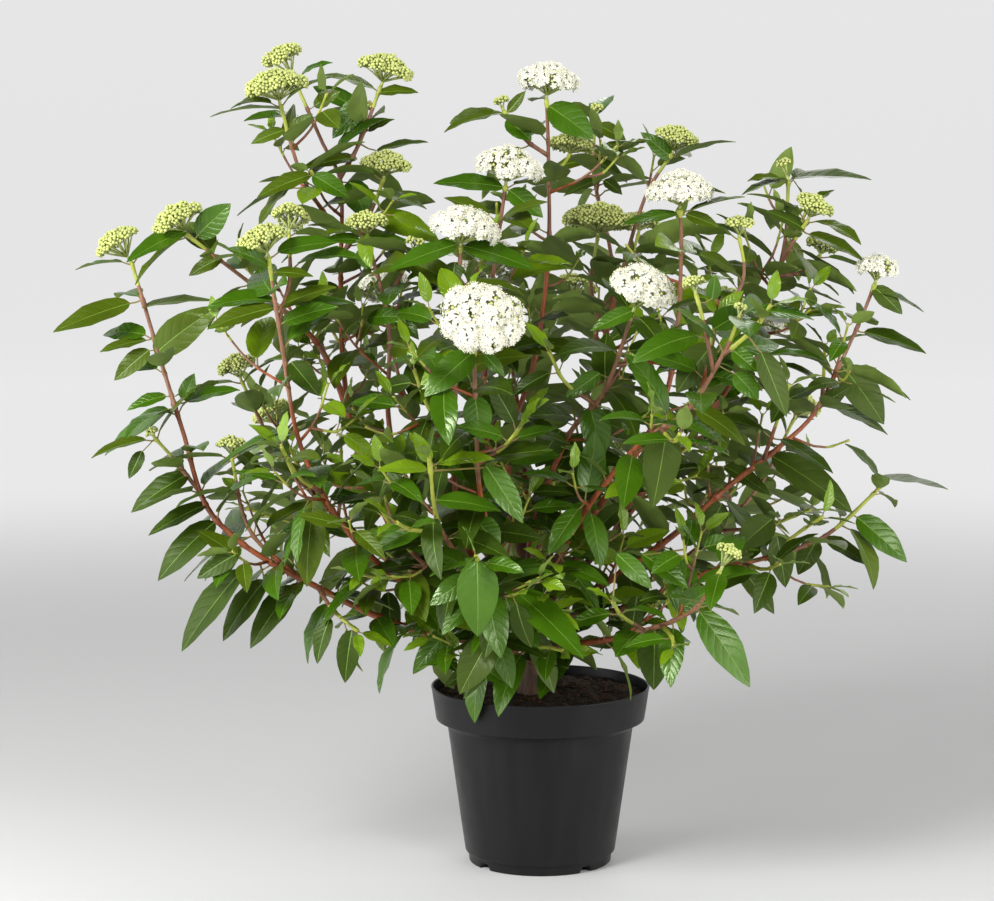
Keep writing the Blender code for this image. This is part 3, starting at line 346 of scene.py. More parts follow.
def grid_faces(rows, columns, closed=False):
    """Quads of a grid of points, row after row. A closed one joins its last column to its first."""
    faces = []
    for row in range(rows - 1):
        for column in range(columns if closed else columns - 1):
            after = (column + 1) % columns
            low = row * columns
            high = low + columns
            faces.append((low + column, low + after, high + after, high + column))
    return faces


def turns(count):
    """Even turns round a circle."""
    return [2 * math.pi * i / count for i in range(count)]


def turned(profile, sides):
    """Rows of points where a profile of (radius, height) turns round +Z."""
    return [(radius * math.cos(turn), radius * math.sin(turn), height)
            for radius, height in profile for turn in turns(sides)]


def square_to(way):
    """Two directions square to this one and to each other."""
    across = way.orthogonal().normalized()
    return across, way.cross(across)


def round_to(across, beside, turn):
    """The direction at this turn from across towards beside."""
    return across * math.cos(turn) + beside * math.sin(turn)


# ---------------------------------------------------------------- routes


def smooth_points(points, per_span=12):
    """Points on a smooth curve through the given ones."""
    ends = [points[0], *points, points[-1]]
    found = []
    for before, start, end, after in zip(ends, ends[1:], ends[2:], ends[3:]):
        pull = (end - start).length / 3
        first = (end - before).normalized() * pull
        last = (after - start).normalized() * pull
        found += interpolate_bezier(start, start + first, end - last, end, per_span)[:-1]
    return found + [Vector(points[-1])]


class Axis:
    """The middle line of a limb or twig, with its taper."""

    def __init__(self, points, radius, tip_radius):
        self.points = points
        self.radius = radius
        self.tip_radius = tip_radius
        self.places = [0.0]
        for start, end in zip(points, points[1:]):
            self.places.append(self.places[-1] + (end - start).length)
        self.length = self.places[-1]

    def at(self, distance):
        """The point and the direction at this distance from the start."""
        after = min(bisect.bisect_left(self.places, distance, 1), len(self.places) - 1)
        start, end = self.points[after - 1], self.points[after]
        share = (distance - self.places[after - 1]) / (self.places[after] - self.places[after - 1])
        return start.lerp(end, share), (end - start).normalized()

    @property
    def tip(self):
        return self.at(self.length)[0]

    def radius_at(self, distance):
        left = max(0.0, 1 - distance / self.length)
        return self.tip_radius + (self.radius - self.tip_radius) * left**TAPER

    def least(self, miss, steps):
        """The distance along the axis, of so many even steps, whose point has the least miss."""
        return min((self.length * i / steps for i in range(steps + 1)),
                   key=lambda distance: miss(self.at(distance)[0]))

    def nearest(self, target):
        return self.least(lambda point: (point - target).length, 200)

    def at_height(self, height):
        return self.least(lambda point: abs(point.z - height), 400)

    def part(self, start, end, step):
        count = max(2, round((end - start) / step))
        points = [self.at(start + (end - start) * i / count)[0] for i in range(count + 1)]
        return Axis(points, self.radius_at(start), self.radius_at(end))


def route_axis(route, radius, tip_radius):
    return Axis(smooth_points([Vector(point) for point in route]), radius, tip_radius)


def trunk_point(place):
    """A point of the trunk's middle line: upright at the foot, and leaning more on the way up."""
    lean = Vector((TRUNK_TIP.x - TRUNK_FOOT.x, TRUNK_TIP.y - TRUNK_FOOT.y, 0))
    return TRUNK_FOOT + lean * place**2 + UP * (TRUNK_TIP.z - TRUNK_FOOT.z) * place


def sweep(batch, centres, radii, sides, slots, relief=None):
    """A closed tube through the centres. A relief gives a share of the radius from (angle, centre)."""
    rows = []
    across = None
    last = len(centres) - 1
    for i, (centre, radius) in enumerate(zip(centres, radii)):
        way = (centres[min(i + 1, last)] - centres[max(i - 1, 0)]).normalized()
        if across is None:
            across = way.orthogonal().normalized()
        across = (across - way * across.dot(way)).normalized()
        beside = way.cross(across)
        for turn in turns(sides):
            reach = radius * (relief(turn, centre) if relief else 1)
            rows.append(centre + round_to(across, beside, turn) * reach)
    if not isinstance(slots, list):
        slots = [slots] * last
    numbers = [slots[row] for row in range(last) for _ in range(sides)]
    ends = [tuple(reversed(range(sides))), tuple(range(last * sides, len(rows)))]
    batch.add([tuple(row) for row in rows], grid_faces(len(centres), sides, closed=True) + ends,
              numbers + [slots[0], slots[-1]])


# ---------------------------------------------------------------- room in the crown


class Room:
    """What stands in the crown already, in cells, so that a new leaf or twig can keep clear of it."""

    CELL = 0.07

    def __init__(self, low, high):
        self.low = low
        self.high = high
        self.cells = {}

    def shape(self, points, faces):
        middle = sum(points, Vector()) / len(points)
        reach = max((point - middle).length for point in points)
        spans = [range(int((c - reach) // self.CELL), int((c + reach) // self.CELL) + 1) for c in middle]
        cells = [(x, y, z) for x in spans[0] for y in spans[1] for z in spans[2]]
        return middle, reach, BVHTree.FromPolygons(points, faces), cells

    def add(self, points, faces, owner):
        middle, reach, tree, cells = self.shape(points, faces)
        for cell in cells:
            self.cells.setdefault(cell, []).append((middle, reach, tree, owner))

    def inside(self, points):
        """True where every point is within the frame's own reach."""
        return all(a < c < b for point in points for a, c, b in zip(self.low, point, self.high))

    def free(self, points, faces, owners):
        """True where the closed shape meets nothing but what the given owners hold."""
        middle, reach, tree, cells = self.shape(points, faces)
        for cell in cells:
            for centre, span, other, owner in self.cells.get(cell, ()):
                if owner in owners or (centre - middle).length > reach + span:
                    continue
                if tree.overlap(other):
                    return False
        return True


def prism(a, b, radius):
    """A rough three-sided bar from a to b, as (points, faces)."""
    across, beside = square_to((b - a).normalized())
    ring = [round_to(across, beside, turn) * radius for turn in (0, 2.1, 4.2)]
    points = [a + c for c in ring] + [b + c for c in ring]
    return points, [(2, 1, 0), (3, 4, 5), (0, 1, 4, 3), (1, 2, 5, 4), (2, 0, 3, 5)]


# ---------------------------------------------------------------- leaves

LEAF_ROWS = np.array((0, 0.04, 0.12, 0.25, 0.40, 0.55, 0.70, 0.83, 0.93, 1.0))
MID = 0.55  # share of the half width where the blade's middle columns run
TOP_COLUMNS = ((-1, 0), (-MID, 0), (0, -1), (0, 1), (MID, 0), (1, 0))  # shares of the blade's and rib's half
TOP, RIB, UNDER, STALK = range(4)
LEAF_SHOULDER = 0.56  # a leaf's outline is t ** shoulder * (1 - t) ** point, widest before its middle
LEAF_POINT = 0.90
LEAF_WIDEST = LEAF_SHOULDER / (LEAF_SHOULDER + LEAF_POINT)
LEAF_PEAK = LEAF_WIDEST**LEAF_SHOULDER * (1 - LEAF_WIDEST) ** LEAF_POINT
LEAF_THICKNESS = 0.00045
ROOT_HALF = 0.0007  # least half width at the root, over the tip's
TIP_HALF = 0.00025
RIB_HALF = 0.00060
RIB_DEPTH = 0.0009  # that the midrib stands out below
GROOVE = 0.0002  # that it is sunk above
FLATTER = 0.45  # share of a leaf's fold that is gone at its margin
RIPPLES = 2.2  # waves of the margin along a leaf
RIPPLE_SHIFT = 0.21  # between the two sides, in waves
PETIOLE = 0.011
PETIOLE_RADIUS = 0.0011

Leaf = namedtuple("Leaf", "length width fold bend twist sway wave phase")


def leaf_shape(leaf):
    """A leaf in its own place: root at the origin, length along +X, face up. Returns (points, places)."""
    t = LEAF_ROWS
    half = 0.5 * leaf.width * t**LEAF_SHOULDER * (1 - t) ** LEAF_POINT / LEAF_PEAK
    half = np.maximum(half, ROOT_HALF * (1 - t) + TIP_HALF)
    rib = np.minimum(RIB_HALF * (1 - 0.75 * t), 0.8 * half)
    angle = leaf.bend * t
    along = leaf.length * np.sin(angle) / leaf.bend
    drop = -leaf.length * (1 - np.cos(angle)) / leaf.bend
    lean = leaf.twist * t

    def column(share, rib_side, lower):
        y = share * half + rib_side * rib
        wave = 2 * math.pi * (RIPPLES * t + leaf.phase + RIPPLE_SHIFT * np.sign(y))
        ripple = leaf.wave * np.sin(wave) * np.abs(share) ** 2
        rise = np.abs(y) * math.sin(leaf.fold) * (1 - FLATTER * np.abs(share) ** 2)
        rise = rise + ripple * np.sin(math.pi * t) - lower
        level = y * math.cos(leaf.fold) + leaf.sway * leaf.length * t**2
        cross = level * np.cos(lean) - rise * np.sin(lean)
        high = level * np.sin(lean) + rise * np.cos(lean)
        return np.stack((along + high * np.sin(angle), cross, drop + high * np.cos(angle)), axis=1)

    columns = [column(share, rib_side, GROOVE if rib_side else 0) for share, rib_side in TOP_COLUMNS]
    columns += [
        column(-MID, 0, LEAF_THICKNESS),
        column(0, 0, LEAF_THICKNESS + RIB_DEPTH * (1 - 0.7 * t)),
        column(MID, 0, LEAF_THICKNESS),
    ]
    across = np.array([-1, -MID, -0.05, 0.05, MID, 1, -MID, 0, MID])
    u, v = np.meshgrid(t, 0.5 + 0.5 * across, indexing="ij")
    return np.stack(columns, axis=1).reshape(-1, 3), np.stack((u.ravel(), v.ravel()), axis=1)


def leaf_faces():
    """A leaf's triangles, nine points a row, split alike above and below, with each one's material."""
    width = 9
    under = (0, 6, 7, 8, 5)
    faces, slots = [], []
    for row in range(len(LEAF_ROWS) - 1):
        low, high = row * width, (row + 1) * width
        for a in range(5):
            faces += [(low + a, high + a, high + a + 1), (low + a, high + a + 1, low + a + 1)]
            slots += [RIB if a == 2 else TOP] * 2
        for a, b in zip(under, under[1:]):
            faces += [(low + b, high + b, low + a), (high + b, high + a, low + a)]
            slots += [UNDER] * 2
    first = (0, 1, 2, 3, 4, 5, 8, 7, 6)
    last = (len(LEAF_ROWS) - 1) * width
    return faces + [first, tuple(last + i for i in reversed(first))], slots + [STALK, TOP]


LEAF_FACES, LEAF_SLOTS = leaf_faces()


def kite(leaf):
    """A rough closed shape round a leaf, for the room test."""
    (x, z), (tip_x, tip_z) = (
        (leaf.length * math.sin(leaf.bend * share) / leaf.bend,
         -leaf.length * (1 - math.cos(leaf.bend * share)) / leaf.bend)
        for share in (0.45, 1.0)
    )
    rise = 0.5 * leaf.width * math.sin(leaf.fold) * 0.6
    side = 0.5 * leaf.width * 0.9
    shape = ((0, 0, 0), (x, side, z + rise), (x, -side, z + rise), (tip_x, 0, tip_z),
             (x, 0, z + 0.0025), (x, 0, z - 0.0025))
    faces = [(0, 4, 1), (0, 2, 4), (3, 1, 4), (3, 4, 2), (0, 1, 5), (0, 5, 2), (3, 5, 1), (3, 2, 5)]
    return [Vector(point) for point in shape], faces


def placed(point, along, up):
    """The matrix that puts a root at point, its length along and its face up."""
    across = up.cross(along).normalized()
    face = along.cross(across).normalized()
    return Matrix.Translation(point) @ Matrix((along, across, face)).transposed().to_4x4()


def moved(points, matrix):
    array = np.array(matrix)
    return points @ array[:3, :3].T + array[:3, 3]


def add_leaf(batch, leaf, matrix, foot):
    """Puts a leaf and its stalk, from the stem's middle to the leaf's root, into the batch."""
    points, places = leaf_shape(leaf)
    batch.add(moved(points, matrix), LEAF_FACES, LEAF_SLOTS, places)
    root = matrix @ Vector((0.0015, 0, -0.0003))
    way = matrix.to_3x3() @ Vector((1, 0, 0))
    middle = foot.lerp(root, 0.55) - way * 0.001 - UP * 0.0008
    radius = PETIOLE_RADIUS * min(1, 0.35 + leaf.length / 0.1)
    sweep(batch, [foot, middle, root], [radius * 1.1, radius * 0.8, radius * 0.75], 5, STALK)


def outward(way, turn):
    """A level direction at this turn about Z, made square to the stem's own way."""
    level = Vector((math.cos(turn), math.sin(turn), 0))
    return (level - way * level.dot(way)).normalized()


# ---------------------------------------------------------------- flower heads

# Of a head: the rise of its dome in half widths, how far its outer umbels reach in widths, how far they lean
# out, the area of an umbel's top for each flower, how flat that top is, and the green stem below the head
Head = namedtuple("Head", "dome spread lean area flat stem")
HEADS = {
    "white": Head(dome=0.45, spread=0.53, lean=0.9, area=34e-6, flat=0.90, stem=0.010),
    "green": Head(dome=0.40, spread=0.60, lean=0.5, area=18.5e-6, flat=0.85, stem=0.030),
}
NECK = 0.35  # share of the way to a head's middle before its rays part
NECK_RADII = (0.0018, 0.0015)
RAY_RADII = (0.0012, 0.0009, 0.0008)
FLOWER_STALK_RADII = (0.00045, 0.0004)
FLORET_RADIUS = 0.0043
FLORET_SIZES = (0.82, 1.10)
BUD_LENGTH = 0.0034
BUD_RADIUS = 0.0018
BUD_SIZES = (0.8, 1.15)
BUD_SIDES = 5
BUD_PROFILE = ((0.35, 0.0), (0.85, 0.35), (0.95, 0.78))  # radius and height, in shares of its own
LOBE = ((-36, 0.46, 0.0), (-24, 0.84, 0.08), (0, 1.0, -0.10), (24, 0.84, 0.08))  # turn, reach and height
LATE_UMBELS = 0.14  # share of a white head's umbels that are half in bud
CROWDED = 0.84  # share of an umbel's radius in which its neighbours have no flowers
DOME_FALL = 1.4  # how fast a dome falls to its margin, as a share of its rise
HUB_JITTER = 0.16
UMBEL_CAP = 1.40  # how far an umbel's top comes down, from 0 at its summit to 2 for the whole ball
PETAL, THROAT, ANTHER = range(3)
BUD, BUD_TIP = range(2)

Umbels = namedtuple("Umbels", "least radius rings")  # radius and reaches in half widths of the head
UMBELS = (
    Umbels(0.026, 0.27, ((0.0, 1), (0.40, 5), (0.73, 10))),
    Umbels(0.014, 0.38, ((0.0, 1), (0.62, 6))),
    Umbels(0.0, 0.52, ((0.42, 3),)),
)


def floret_form():
    """A five-lobed flower, face up: a closed shallow cup with five anthers over it."""
    points = [(0, 0, -0.10), (0, 0, -0.75)]
    faces, slots = [], []
    for lobe in range(5):
        for turn, reach, height in LOBE:
            angle = math.radians(72 * lobe + turn)
            points.append((reach * math.cos(angle), reach * math.sin(angle), height))
    ring = list(range(2, len(points)))
    for a, b in zip(ring, ring[1:] + ring[:1]):
        faces += [(0, a, b), (1, b, a)]
        slots += [PETAL, PETAL]

    def add_tetrahedron(slot, *corners):
        start = len(points)
        points.extend(corners)
        faces.extend(tuple(start + i for i in face) for face in ((0, 1, 2), (0, 2, 3), (0, 3, 1), (1, 3, 2)))
        slots.extend([slot] * 4)

    for lobe in range(5):
        angle = math.radians(72 * lobe + 36)
        x, y, z, size = 0.42 * math.cos(angle), 0.42 * math.sin(angle), 0.50, 0.12
        add_tetrahedron(ANTHER, (x, y, z + size), (x + size, y, z - size), (x - size, y + size, z - size),
                        (x - size, y - size, z - size))
    add_tetrahedron(THROAT, (0, 0, 0.16), (0.17, 0, -0.12), (-0.08, 0.15, -0.12), (-0.08, -0.15, -0.12))
    return np.array(points), faces, slots


def bud_form():
    """A blunt bud that stands on its stalk, wider towards its tip."""
    points = turned(BUD_PROFILE, BUD_SIDES)
    top = len(points)
    last = top - BUD_SIDES
    faces = grid_faces(len(BUD_PROFILE), BUD_SIDES, closed=True)
    faces += [(last + side, last + (side + 1) % BUD_SIDES, top) for side in range(BUD_SIDES)]
    faces.append(tuple(reversed(range(BUD_SIDES))))
    points = np.array(points + [(0, 0, 1.0)]) * (BUD_RADIUS, BUD_RADIUS, BUD_LENGTH)
    return points, faces, [BUD] * BUD_SIDES + [BUD_TIP] * 2 * BUD_SIDES + [BUD]


FLORET = floret_form()
BUDLET = bud_form()


def add_form(batch, form, point, way, size, spread, rng):
    """Puts a small form at point, its own +Z along way, with a turn and a share of its size of its own."""
    points, faces, slots = form
    spin = round_to(*square_to(way), rng.uniform(0, 6))
    basis = Matrix((spin, way.cross(spin), way)).transposed().to_4x4()
    matrix = Matrix.Translation(point) @ basis @ Matrix.Scale(size * rng.uniform(*spread), 4)
    batch.add(moved(points, matrix), faces, slots)


def jitter(rng, size):
    return Vector([rng.uniform(-size, size) for _ in range(3)])


def umbel_hubs(half, head, rng):
    """The middles of a head's smaller umbels over its dome, each with the way it faces and its radius."""
    umbels = next(umbels for umbels in UMBELS if half >= umbels.least)
    radius = half * umbels.radius
    dome = half * head.dome
    found = []
    for reach, count in umbels.rings:
        first = rng.uniform(0, 2 * math.pi)
        for i in range(count):
            turn = first + 2 * math.pi * (i + rng.uniform(-HUB_JITTER, HUB_JITTER)) / count
            out = reach * rng.uniform(0.90, 1.06)
            height = dome * (1 - DOME_FALL * out**2) + rng.uniform(-HUB_JITTER, HUB_JITTER) * radius
            place = Vector((out * half * math.cos(turn), out * half * math.sin(turn), height))
            way = Vector((out * head.lean * math.cos(turn), out * head.lean * math.sin(turn), 1)).normalized()
            size = radius * rng.uniform(0.90, 1.10)
            found.append((place - way * size * 0.75, way, size))
    return found


def umbel_points(hub, way, radius, head):
    """Places spread over an umbel's own rounded top, each with the way it faces."""
    across, beside = square_to(way)
    count = max(3, round(2 * math.pi * radius**2 * UMBEL_CAP / head.area))
    for i in range(count):
        height = 1 - UMBEL_CAP * (i + 0.5) / count
        reach = math.sqrt(1 - height**2)
        turn = i * GOLDEN
        out = across * math.cos(turn) * reach + beside * math.sin(turn) * reach + way * height * head.flat
        yield hub + out * radius, (out + way * 0.35).normalized()


class Cymes:
    """The flower heads: white ones with open florets, and green ones still in bud."""

    def __init__(self):
        self.rays = Batch()
        self.florets = Batch()
        self.buds = Batch()

    def add(self, base, top, rng):
        """A head of small umbels, whose rays leave base and which fill a dome round the top's centre."""
        axis = Vector(top.centre) - base
        sweep(self.rays, [base - axis * 0.05, base + axis * NECK], NECK_RADII, 6, 0)
        base = base + axis * NECK
        axis = axis * (1 - NECK)
        rise = Vector((0, 0, axis.length))
        turn = UP.rotation_difference(axis.normalized()).to_matrix()
        head = HEADS[top.kind]
        hubs = umbel_hubs(head.spread * top.width, head, rng)
        for hub, way, radius in hubs:
            stalk = hub + rise - way * radius * 0.5
            middle = Vector((stalk.x * 0.62, stalk.y * 0.62, stalk.z * 0.5))
            ray = [base - turn @ UP * 0.003, base + turn @ middle, base + turn @ stalk]
            sweep(self.rays, ray, RAY_RADII, 5, 0)
            unopened = 0.5 if rng.random() < LATE_UMBELS else 0.06
            for point, out in umbel_points(hub, way, radius, head):
                if any((point - other).length < CROWDED * size
                       for other, _, size in hubs if other is not hub):
                    continue
                out = (turn @ (out + jitter(rng, 0.18))).normalized()
                end = base + turn @ (point + jitter(rng, 0.0006) + rise)
                in_bud = top.kind == "green" or rng.random() < unopened
                foot = end - out * (BUD_LENGTH if in_bud else FLORET_RADIUS * 0.6)
                sweep(self.rays, [base + turn @ stalk, foot + out * 0.0004], FLOWER_STALK_RADII, 3, 0)
                if in_bud:
                    add_form(self.buds, BUDLET, foot, out, 1, BUD_SIZES, rng)
                else:
                    add_form(self.florets, FLORET, end, out, FLORET_RADIUS, FLORET_SIZES, rng)


# ---------------------------------------------------------------- the plant

LEAF_LENGTH = 0.069
PAIR_SPACING = 0.041
FIRST_PAIR = 0.012  # from the foot of a fork or twig
FRONT_FIRST_PAIR = 0.060  # from the foot of a mass that stands on the trunk
TWIG_EVERY = 0.066
TWIG_LENGTH = 0.080
FINE_TWIG_EVERY = 0.055
FINE_TWIG_LENGTH = 0.052
TWIG_TRIES = 6
INNER_TWIGS = 3  # on each bough, deep in the crown
STEM_ROOM = 0.0015  # radii of the rough bars that stand for stems and new twigs in the room
TWIG_ROOM = 0.0045
REACH_MARGIN = Vector((0.010, 0.010, 0.010))  # past the solids' own box
RED_ABOVE = 0.33  # heights at which the boughs' bark turns redder, then paler
TAN_ABOVE = 0.52
NODE_SWELL = 0.34  # of a stem at each pair of leaves
NODE_HALF = 0.0026
SAME_PLACE = 1e-6
SEEN_DEPTH, SEEN_HEIGHT = 0.08, 0.64  # the photo shows a head in front of one or above the other
HEAD_ROOM = 1.08  # half width of the rough shape that keeps a head's place, in the head's own
HEAD_MARGIN = 0.006
CROWN_MIDDLE = Vector((-0.01, 0, 0.46))
CROWN_REACH = Vector((0.44, 0.34, 0.36))
OUTER = 0.72  # share of the crown's reach past which few side twigs grow
FULL_LEAF_TRIES = 5
SMALL_LEAF = 0.72
LEAF_SWINGS = (0, 0.35, -0.35, 0.7, -0.7, 0.2, -0.2)
LEAF_SPREAD = (55, 85)  # degrees from the stem
YOUNG_SPREAD = (25, 45)
LEAF_WIDTHS = (0.41, 0.50)  # in lengths
LEAF_FOLDS = (0.10, 0.45)
LEAF_BENDS = (0.15, 0.75)
YOUNG_BEND = 0.3
LEAF_TWIST = 0.30
LEAF_ROLL = 0.24  # spread of the turn about its own length
LEAF_SWAY = 0.07  # sideways curve, in lengths
LEAF_WAVE = 0.0012
LEAF_FLOOR = 0.150  # no leaf hangs lower
TIP_SCALES = (0.42, 0.85)  # size of the last pair, at a leafy tip and below a head
SCALE_STEP = 0.28  # from each pair to the next one down
KEY_REACHES = (0.20, 0.35, 0.05, 0.50, -0.15, 0.65, -0.35, 0.9)  # forward of a key leaf, in its spans
KEY_STEP = 0.003  # between the places on a stem that are tried for a key leaf
EDGE_ON = 0.45  # a key leaf seen narrower than this share of its length is wider, and turned to its edge
SPRAYS = ("bright", "fresh", "deep", "olive", "dull")
WOOD, RED, TAN, GREEN = range(4)  # a stem's materials, from its old foot to its young tip
GREEN_LENGTHS = (0.080, 0.060, 0.032, 0.035)  # of green stem at a leafy tip, by level of branching
TAN_LENGTHS = (0.150, 0.110, 0.060, 0.050)
BRIGHT_TWIGS = 0.12  # share of the side twigs that are all young leaves

# Open patches in the photo between the sprays, as (x, y, radius) in its pixels
SKY = (
    (228, 165, 34), (272, 158, 13), (316, 146, 14), (345, 58, 13), (326, 42, 20), (416, 120, 20),
    (446, 98, 22), (441, 155, 23), (420, 181, 12), (255, 212, 13), (100, 283, 18), (74, 290, 18),
    (172, 271, 16), (225, 283, 15), (149, 290, 9), (117, 325, 10), (94, 346, 12), (215, 356, 20),
    (180, 369, 9), (121, 394, 12), (211, 420, 9), (110, 472, 12), (118, 495, 12), (140, 552, 14),
    (175, 602, 22), (209, 640, 15), (238, 652, 11), (288, 645, 24), (384, 676, 12), (410, 691, 18),
    (640, 166, 14), (714, 166, 15), (750, 150, 26), (765, 200, 10), (762, 228, 13), (852, 195, 14),
    (862, 226, 17), (882, 244, 14), (906, 284, 10), (926, 331, 11), (905, 372, 21), (815, 367, 8),
    (826, 436, 18), (861, 430, 13), (895, 455, 18), (855, 470, 14), (914, 515, 18), (836, 556, 10),
    (886, 562, 12), (739, 596, 14), (760, 634, 20), (701, 661, 16), (633, 104, 12), (655, 108, 14),
    (835, 158, 14), (590, 78, 14), (341, 491, 9), (345, 450, 7), (341, 538, 10), (300, 497, 8), (408, 601, 9),
    (306, 214, 8), (272, 230, 8), (325, 634, 6), (552, 724, 12),
)

# Leaves that catch the eye in the photo: green, root x and y, tip x and y, and width as seen, in its pixels
KEY_LEAVES = {
    "left_low": (
        ("olive", 130, 303, 57, 331, 26), ("olive", 125, 259, 54, 262, 7), ("olive", 142, 307, 214, 299, 13),
        ("olive", 155, 354, 218, 303, 34), ("olive", 146, 340, 102, 351, 12),
        ("olive", 149, 350, 116, 379, 22), ("fresh", 183, 400, 196, 374, 17),
        ("fresh", 166, 396, 128, 408, 14), ("fresh", 168, 409, 103, 457, 22),
        ("fresh", 188, 401, 240, 388, 15), ("deep", 142, 451, 131, 478, 14), ("deep", 188, 474, 134, 511, 25),
        ("deep", 207, 504, 151, 533, 17), ("deep", 215, 522, 159, 576, 27), ("deep", 238, 553, 199, 577, 22),
        ("deep", 242, 570, 184, 646, 21), ("deep", 265, 580, 225, 638, 22), ("deep", 294, 586, 252, 645, 26),
        ("deep", 330, 618, 316, 661, 12), ("deep", 352, 630, 344, 680, 24), ("deep", 388, 592, 392, 642, 18),
    ),
    "left_upper": (
        ("fresh", 197, 236, 231, 204, 27), ("fresh", 186, 231, 131, 258, 21),
        ("olive", 222, 257, 190, 275, 17),
    ),
    "left_mid": (
        ("fresh", 268, 265, 231, 246, 17), ("olive", 275, 272, 313, 276, 13),
        ("olive", 273, 308, 209, 326, 21), ("olive", 281, 305, 336, 287, 17),
        ("fresh", 284, 322, 338, 304, 19), ("deep", 291, 362, 318, 395, 25),
        ("olive", 313, 508, 304, 583, 30),
    ),
    "top_left": (
        ("olive", 281, 108, 212, 115, 8), ("olive", 284, 130, 252, 143, 14),
        ("olive", 287, 131, 313, 115, 12), ("olive", 314, 106, 340, 91, 15), ("olive", 374, 88, 322, 74, 13),
        ("olive", 378, 93, 418, 92, 13), ("fresh", 364, 100, 334, 138, 26), ("olive", 368, 131, 394, 119, 9),
        ("olive", 357, 158, 305, 169, 17), ("dull", 376, 151, 427, 142, 11),
        ("olive", 310, 175, 258, 195, 20), ("fresh", 313, 175, 348, 198, 22),
        ("fresh", 350, 181, 368, 220, 29), ("dull", 377, 192, 427, 207, 13), ("dull", 341, 290, 300, 284, 13),
    ),
    "inner_left": (
        ("fresh", 360, 240, 324, 240, 13), ("fresh", 367, 240, 412, 243, 13),
        ("fresh", 363, 248, 366, 269, 17),
    ),
    "centre_left": (
        ("fresh", 457, 244, 390, 270, 23), ("fresh", 464, 246, 533, 268, 24),
        ("deep", 455, 262, 452, 286, 19),
    ),
    "centre_mid": (
        ("fresh", 503, 187, 435, 183, 21), ("fresh", 511, 182, 547, 182, 16),
        ("fresh", 509, 190, 541, 218, 24),
    ),
    "centre_top": (
        ("fresh", 549, 106, 592, 139, 33), ("fresh", 507, 119, 531, 140, 23),
        ("olive", 503, 113, 444, 130, 12), ("olive", 508, 112, 526, 92, 11),
    ),
    "back_centre": (
        ("olive", 592, 156, 638, 144, 15), ("dull", 590, 157, 626, 182, 15),
        ("olive", 586, 160, 553, 168, 13), ("olive", 598, 125, 625, 140, 17),
        ("dull", 601, 180, 563, 194, 12), ("dull", 604, 180, 622, 194, 13),
    ),
    "right_top_back": (("fresh", 672, 158, 640, 134, 18), ("dull", 676, 157, 730, 140, 7)),
    "right_upper": (
        ("fresh", 677, 213, 624, 224, 14), ("olive", 686, 214, 718, 227, 15), ("dull", 690, 210, 743, 196, 8),
    ),
    "right_back": (
        ("dull", 791, 178, 868, 179, 13), ("dull", 787, 179, 741, 193, 8), ("dull", 805, 229, 766, 211, 14),
        ("olive", 810, 226, 850, 211, 12), ("olive", 809, 234, 862, 259, 15),
    ),
    "right_far": (
        ("dull", 874, 287, 900, 314, 21), ("dull", 876, 292, 926, 311, 9), ("deep", 864, 332, 924, 350, 19),
        ("dull", 842, 366, 883, 421, 36), ("dull", 832, 404, 886, 431, 15), ("dull", 822, 404, 848, 388, 17),
        ("dull", 772, 456, 849, 510, 34), ("dull", 724, 466, 768, 494, 17), ("dull", 722, 503, 702, 545, 25),
    ),
    "right_low": (
        ("fresh", 857, 517, 904, 560, 30), ("dull", 879, 477, 945, 487, 9), ("dull", 878, 475, 845, 442, 11),
        ("dull", 772, 519, 738, 548, 32), ("dull", 777, 536, 785, 585, 25), ("dull", 817, 540, 797, 573, 24),
        ("dull", 825, 538, 868, 564, 17), ("dull", 742, 568, 772, 612, 24),
    ),
    "right_low_front": (
        ("fresh", 700, 612, 746, 684, 33), ("deep", 655, 628, 652, 687, 34),
        ("fresh", 681, 609, 712, 585, 26), ("fresh", 617, 554, 650, 588, 21),
        ("fresh", 642, 554, 688, 585, 22), ("deep", 637, 596, 630, 640, 19),
    ),
    "front_low": (
        ("fresh", 477, 560, 480, 633, 42), ("fresh", 510, 587, 582, 640, 28),
        ("fresh", 506, 600, 524, 640, 21), ("fresh", 470, 577, 430, 602, 24),
        ("fresh", 452, 628, 412, 670, 25),
    ),
    "front_low_droop": (
        ("dull", 491, 636, 462, 692, 36), ("fresh", 497, 640, 511, 686, 23), ("dull", 534, 632, 553, 690, 20),
    ),
    "centre_front": (
        ("fresh", 475, 396, 481, 441, 28), ("fresh", 473, 352, 427, 395, 32),
        ("fresh", 483, 353, 504, 376, 14),
    ),
    "front_low_left": (
        ("fresh", 432, 522, 372, 556, 25), ("fresh", 437, 500, 500, 510, 20),
        ("bright", 437, 463, 494, 456, 14), ("bright", 430, 462, 414, 432, 15),
        ("bright", 427, 469, 378, 468, 15), ("fresh", 476, 520, 500, 546, 28),
        ("fresh", 486, 466, 521, 521, 25),
    ),
    "mid_left_front": (("deep", 393, 459, 380, 497, 29),),
    "right_mid": (
        ("fresh", 590, 407, 602, 457, 31), ("deep", 561, 430, 535, 465, 32),
        ("fresh", 600, 373, 567, 397, 19), ("fresh", 634, 310, 592, 331, 19),
    ),
    "right_front": (
        ("dull", 667, 428, 655, 505, 37), ("dull", 712, 345, 676, 391, 33), ("olive", 696, 409, 745, 442, 21),
        ("fresh", 733, 350, 756, 371, 20), ("fresh", 735, 373, 757, 399, 22),
        ("fresh", 752, 311, 812, 318, 17), ("fresh", 712, 300, 715, 275, 15),
        ("dull", 761, 352, 783, 415, 23),
    ),
}

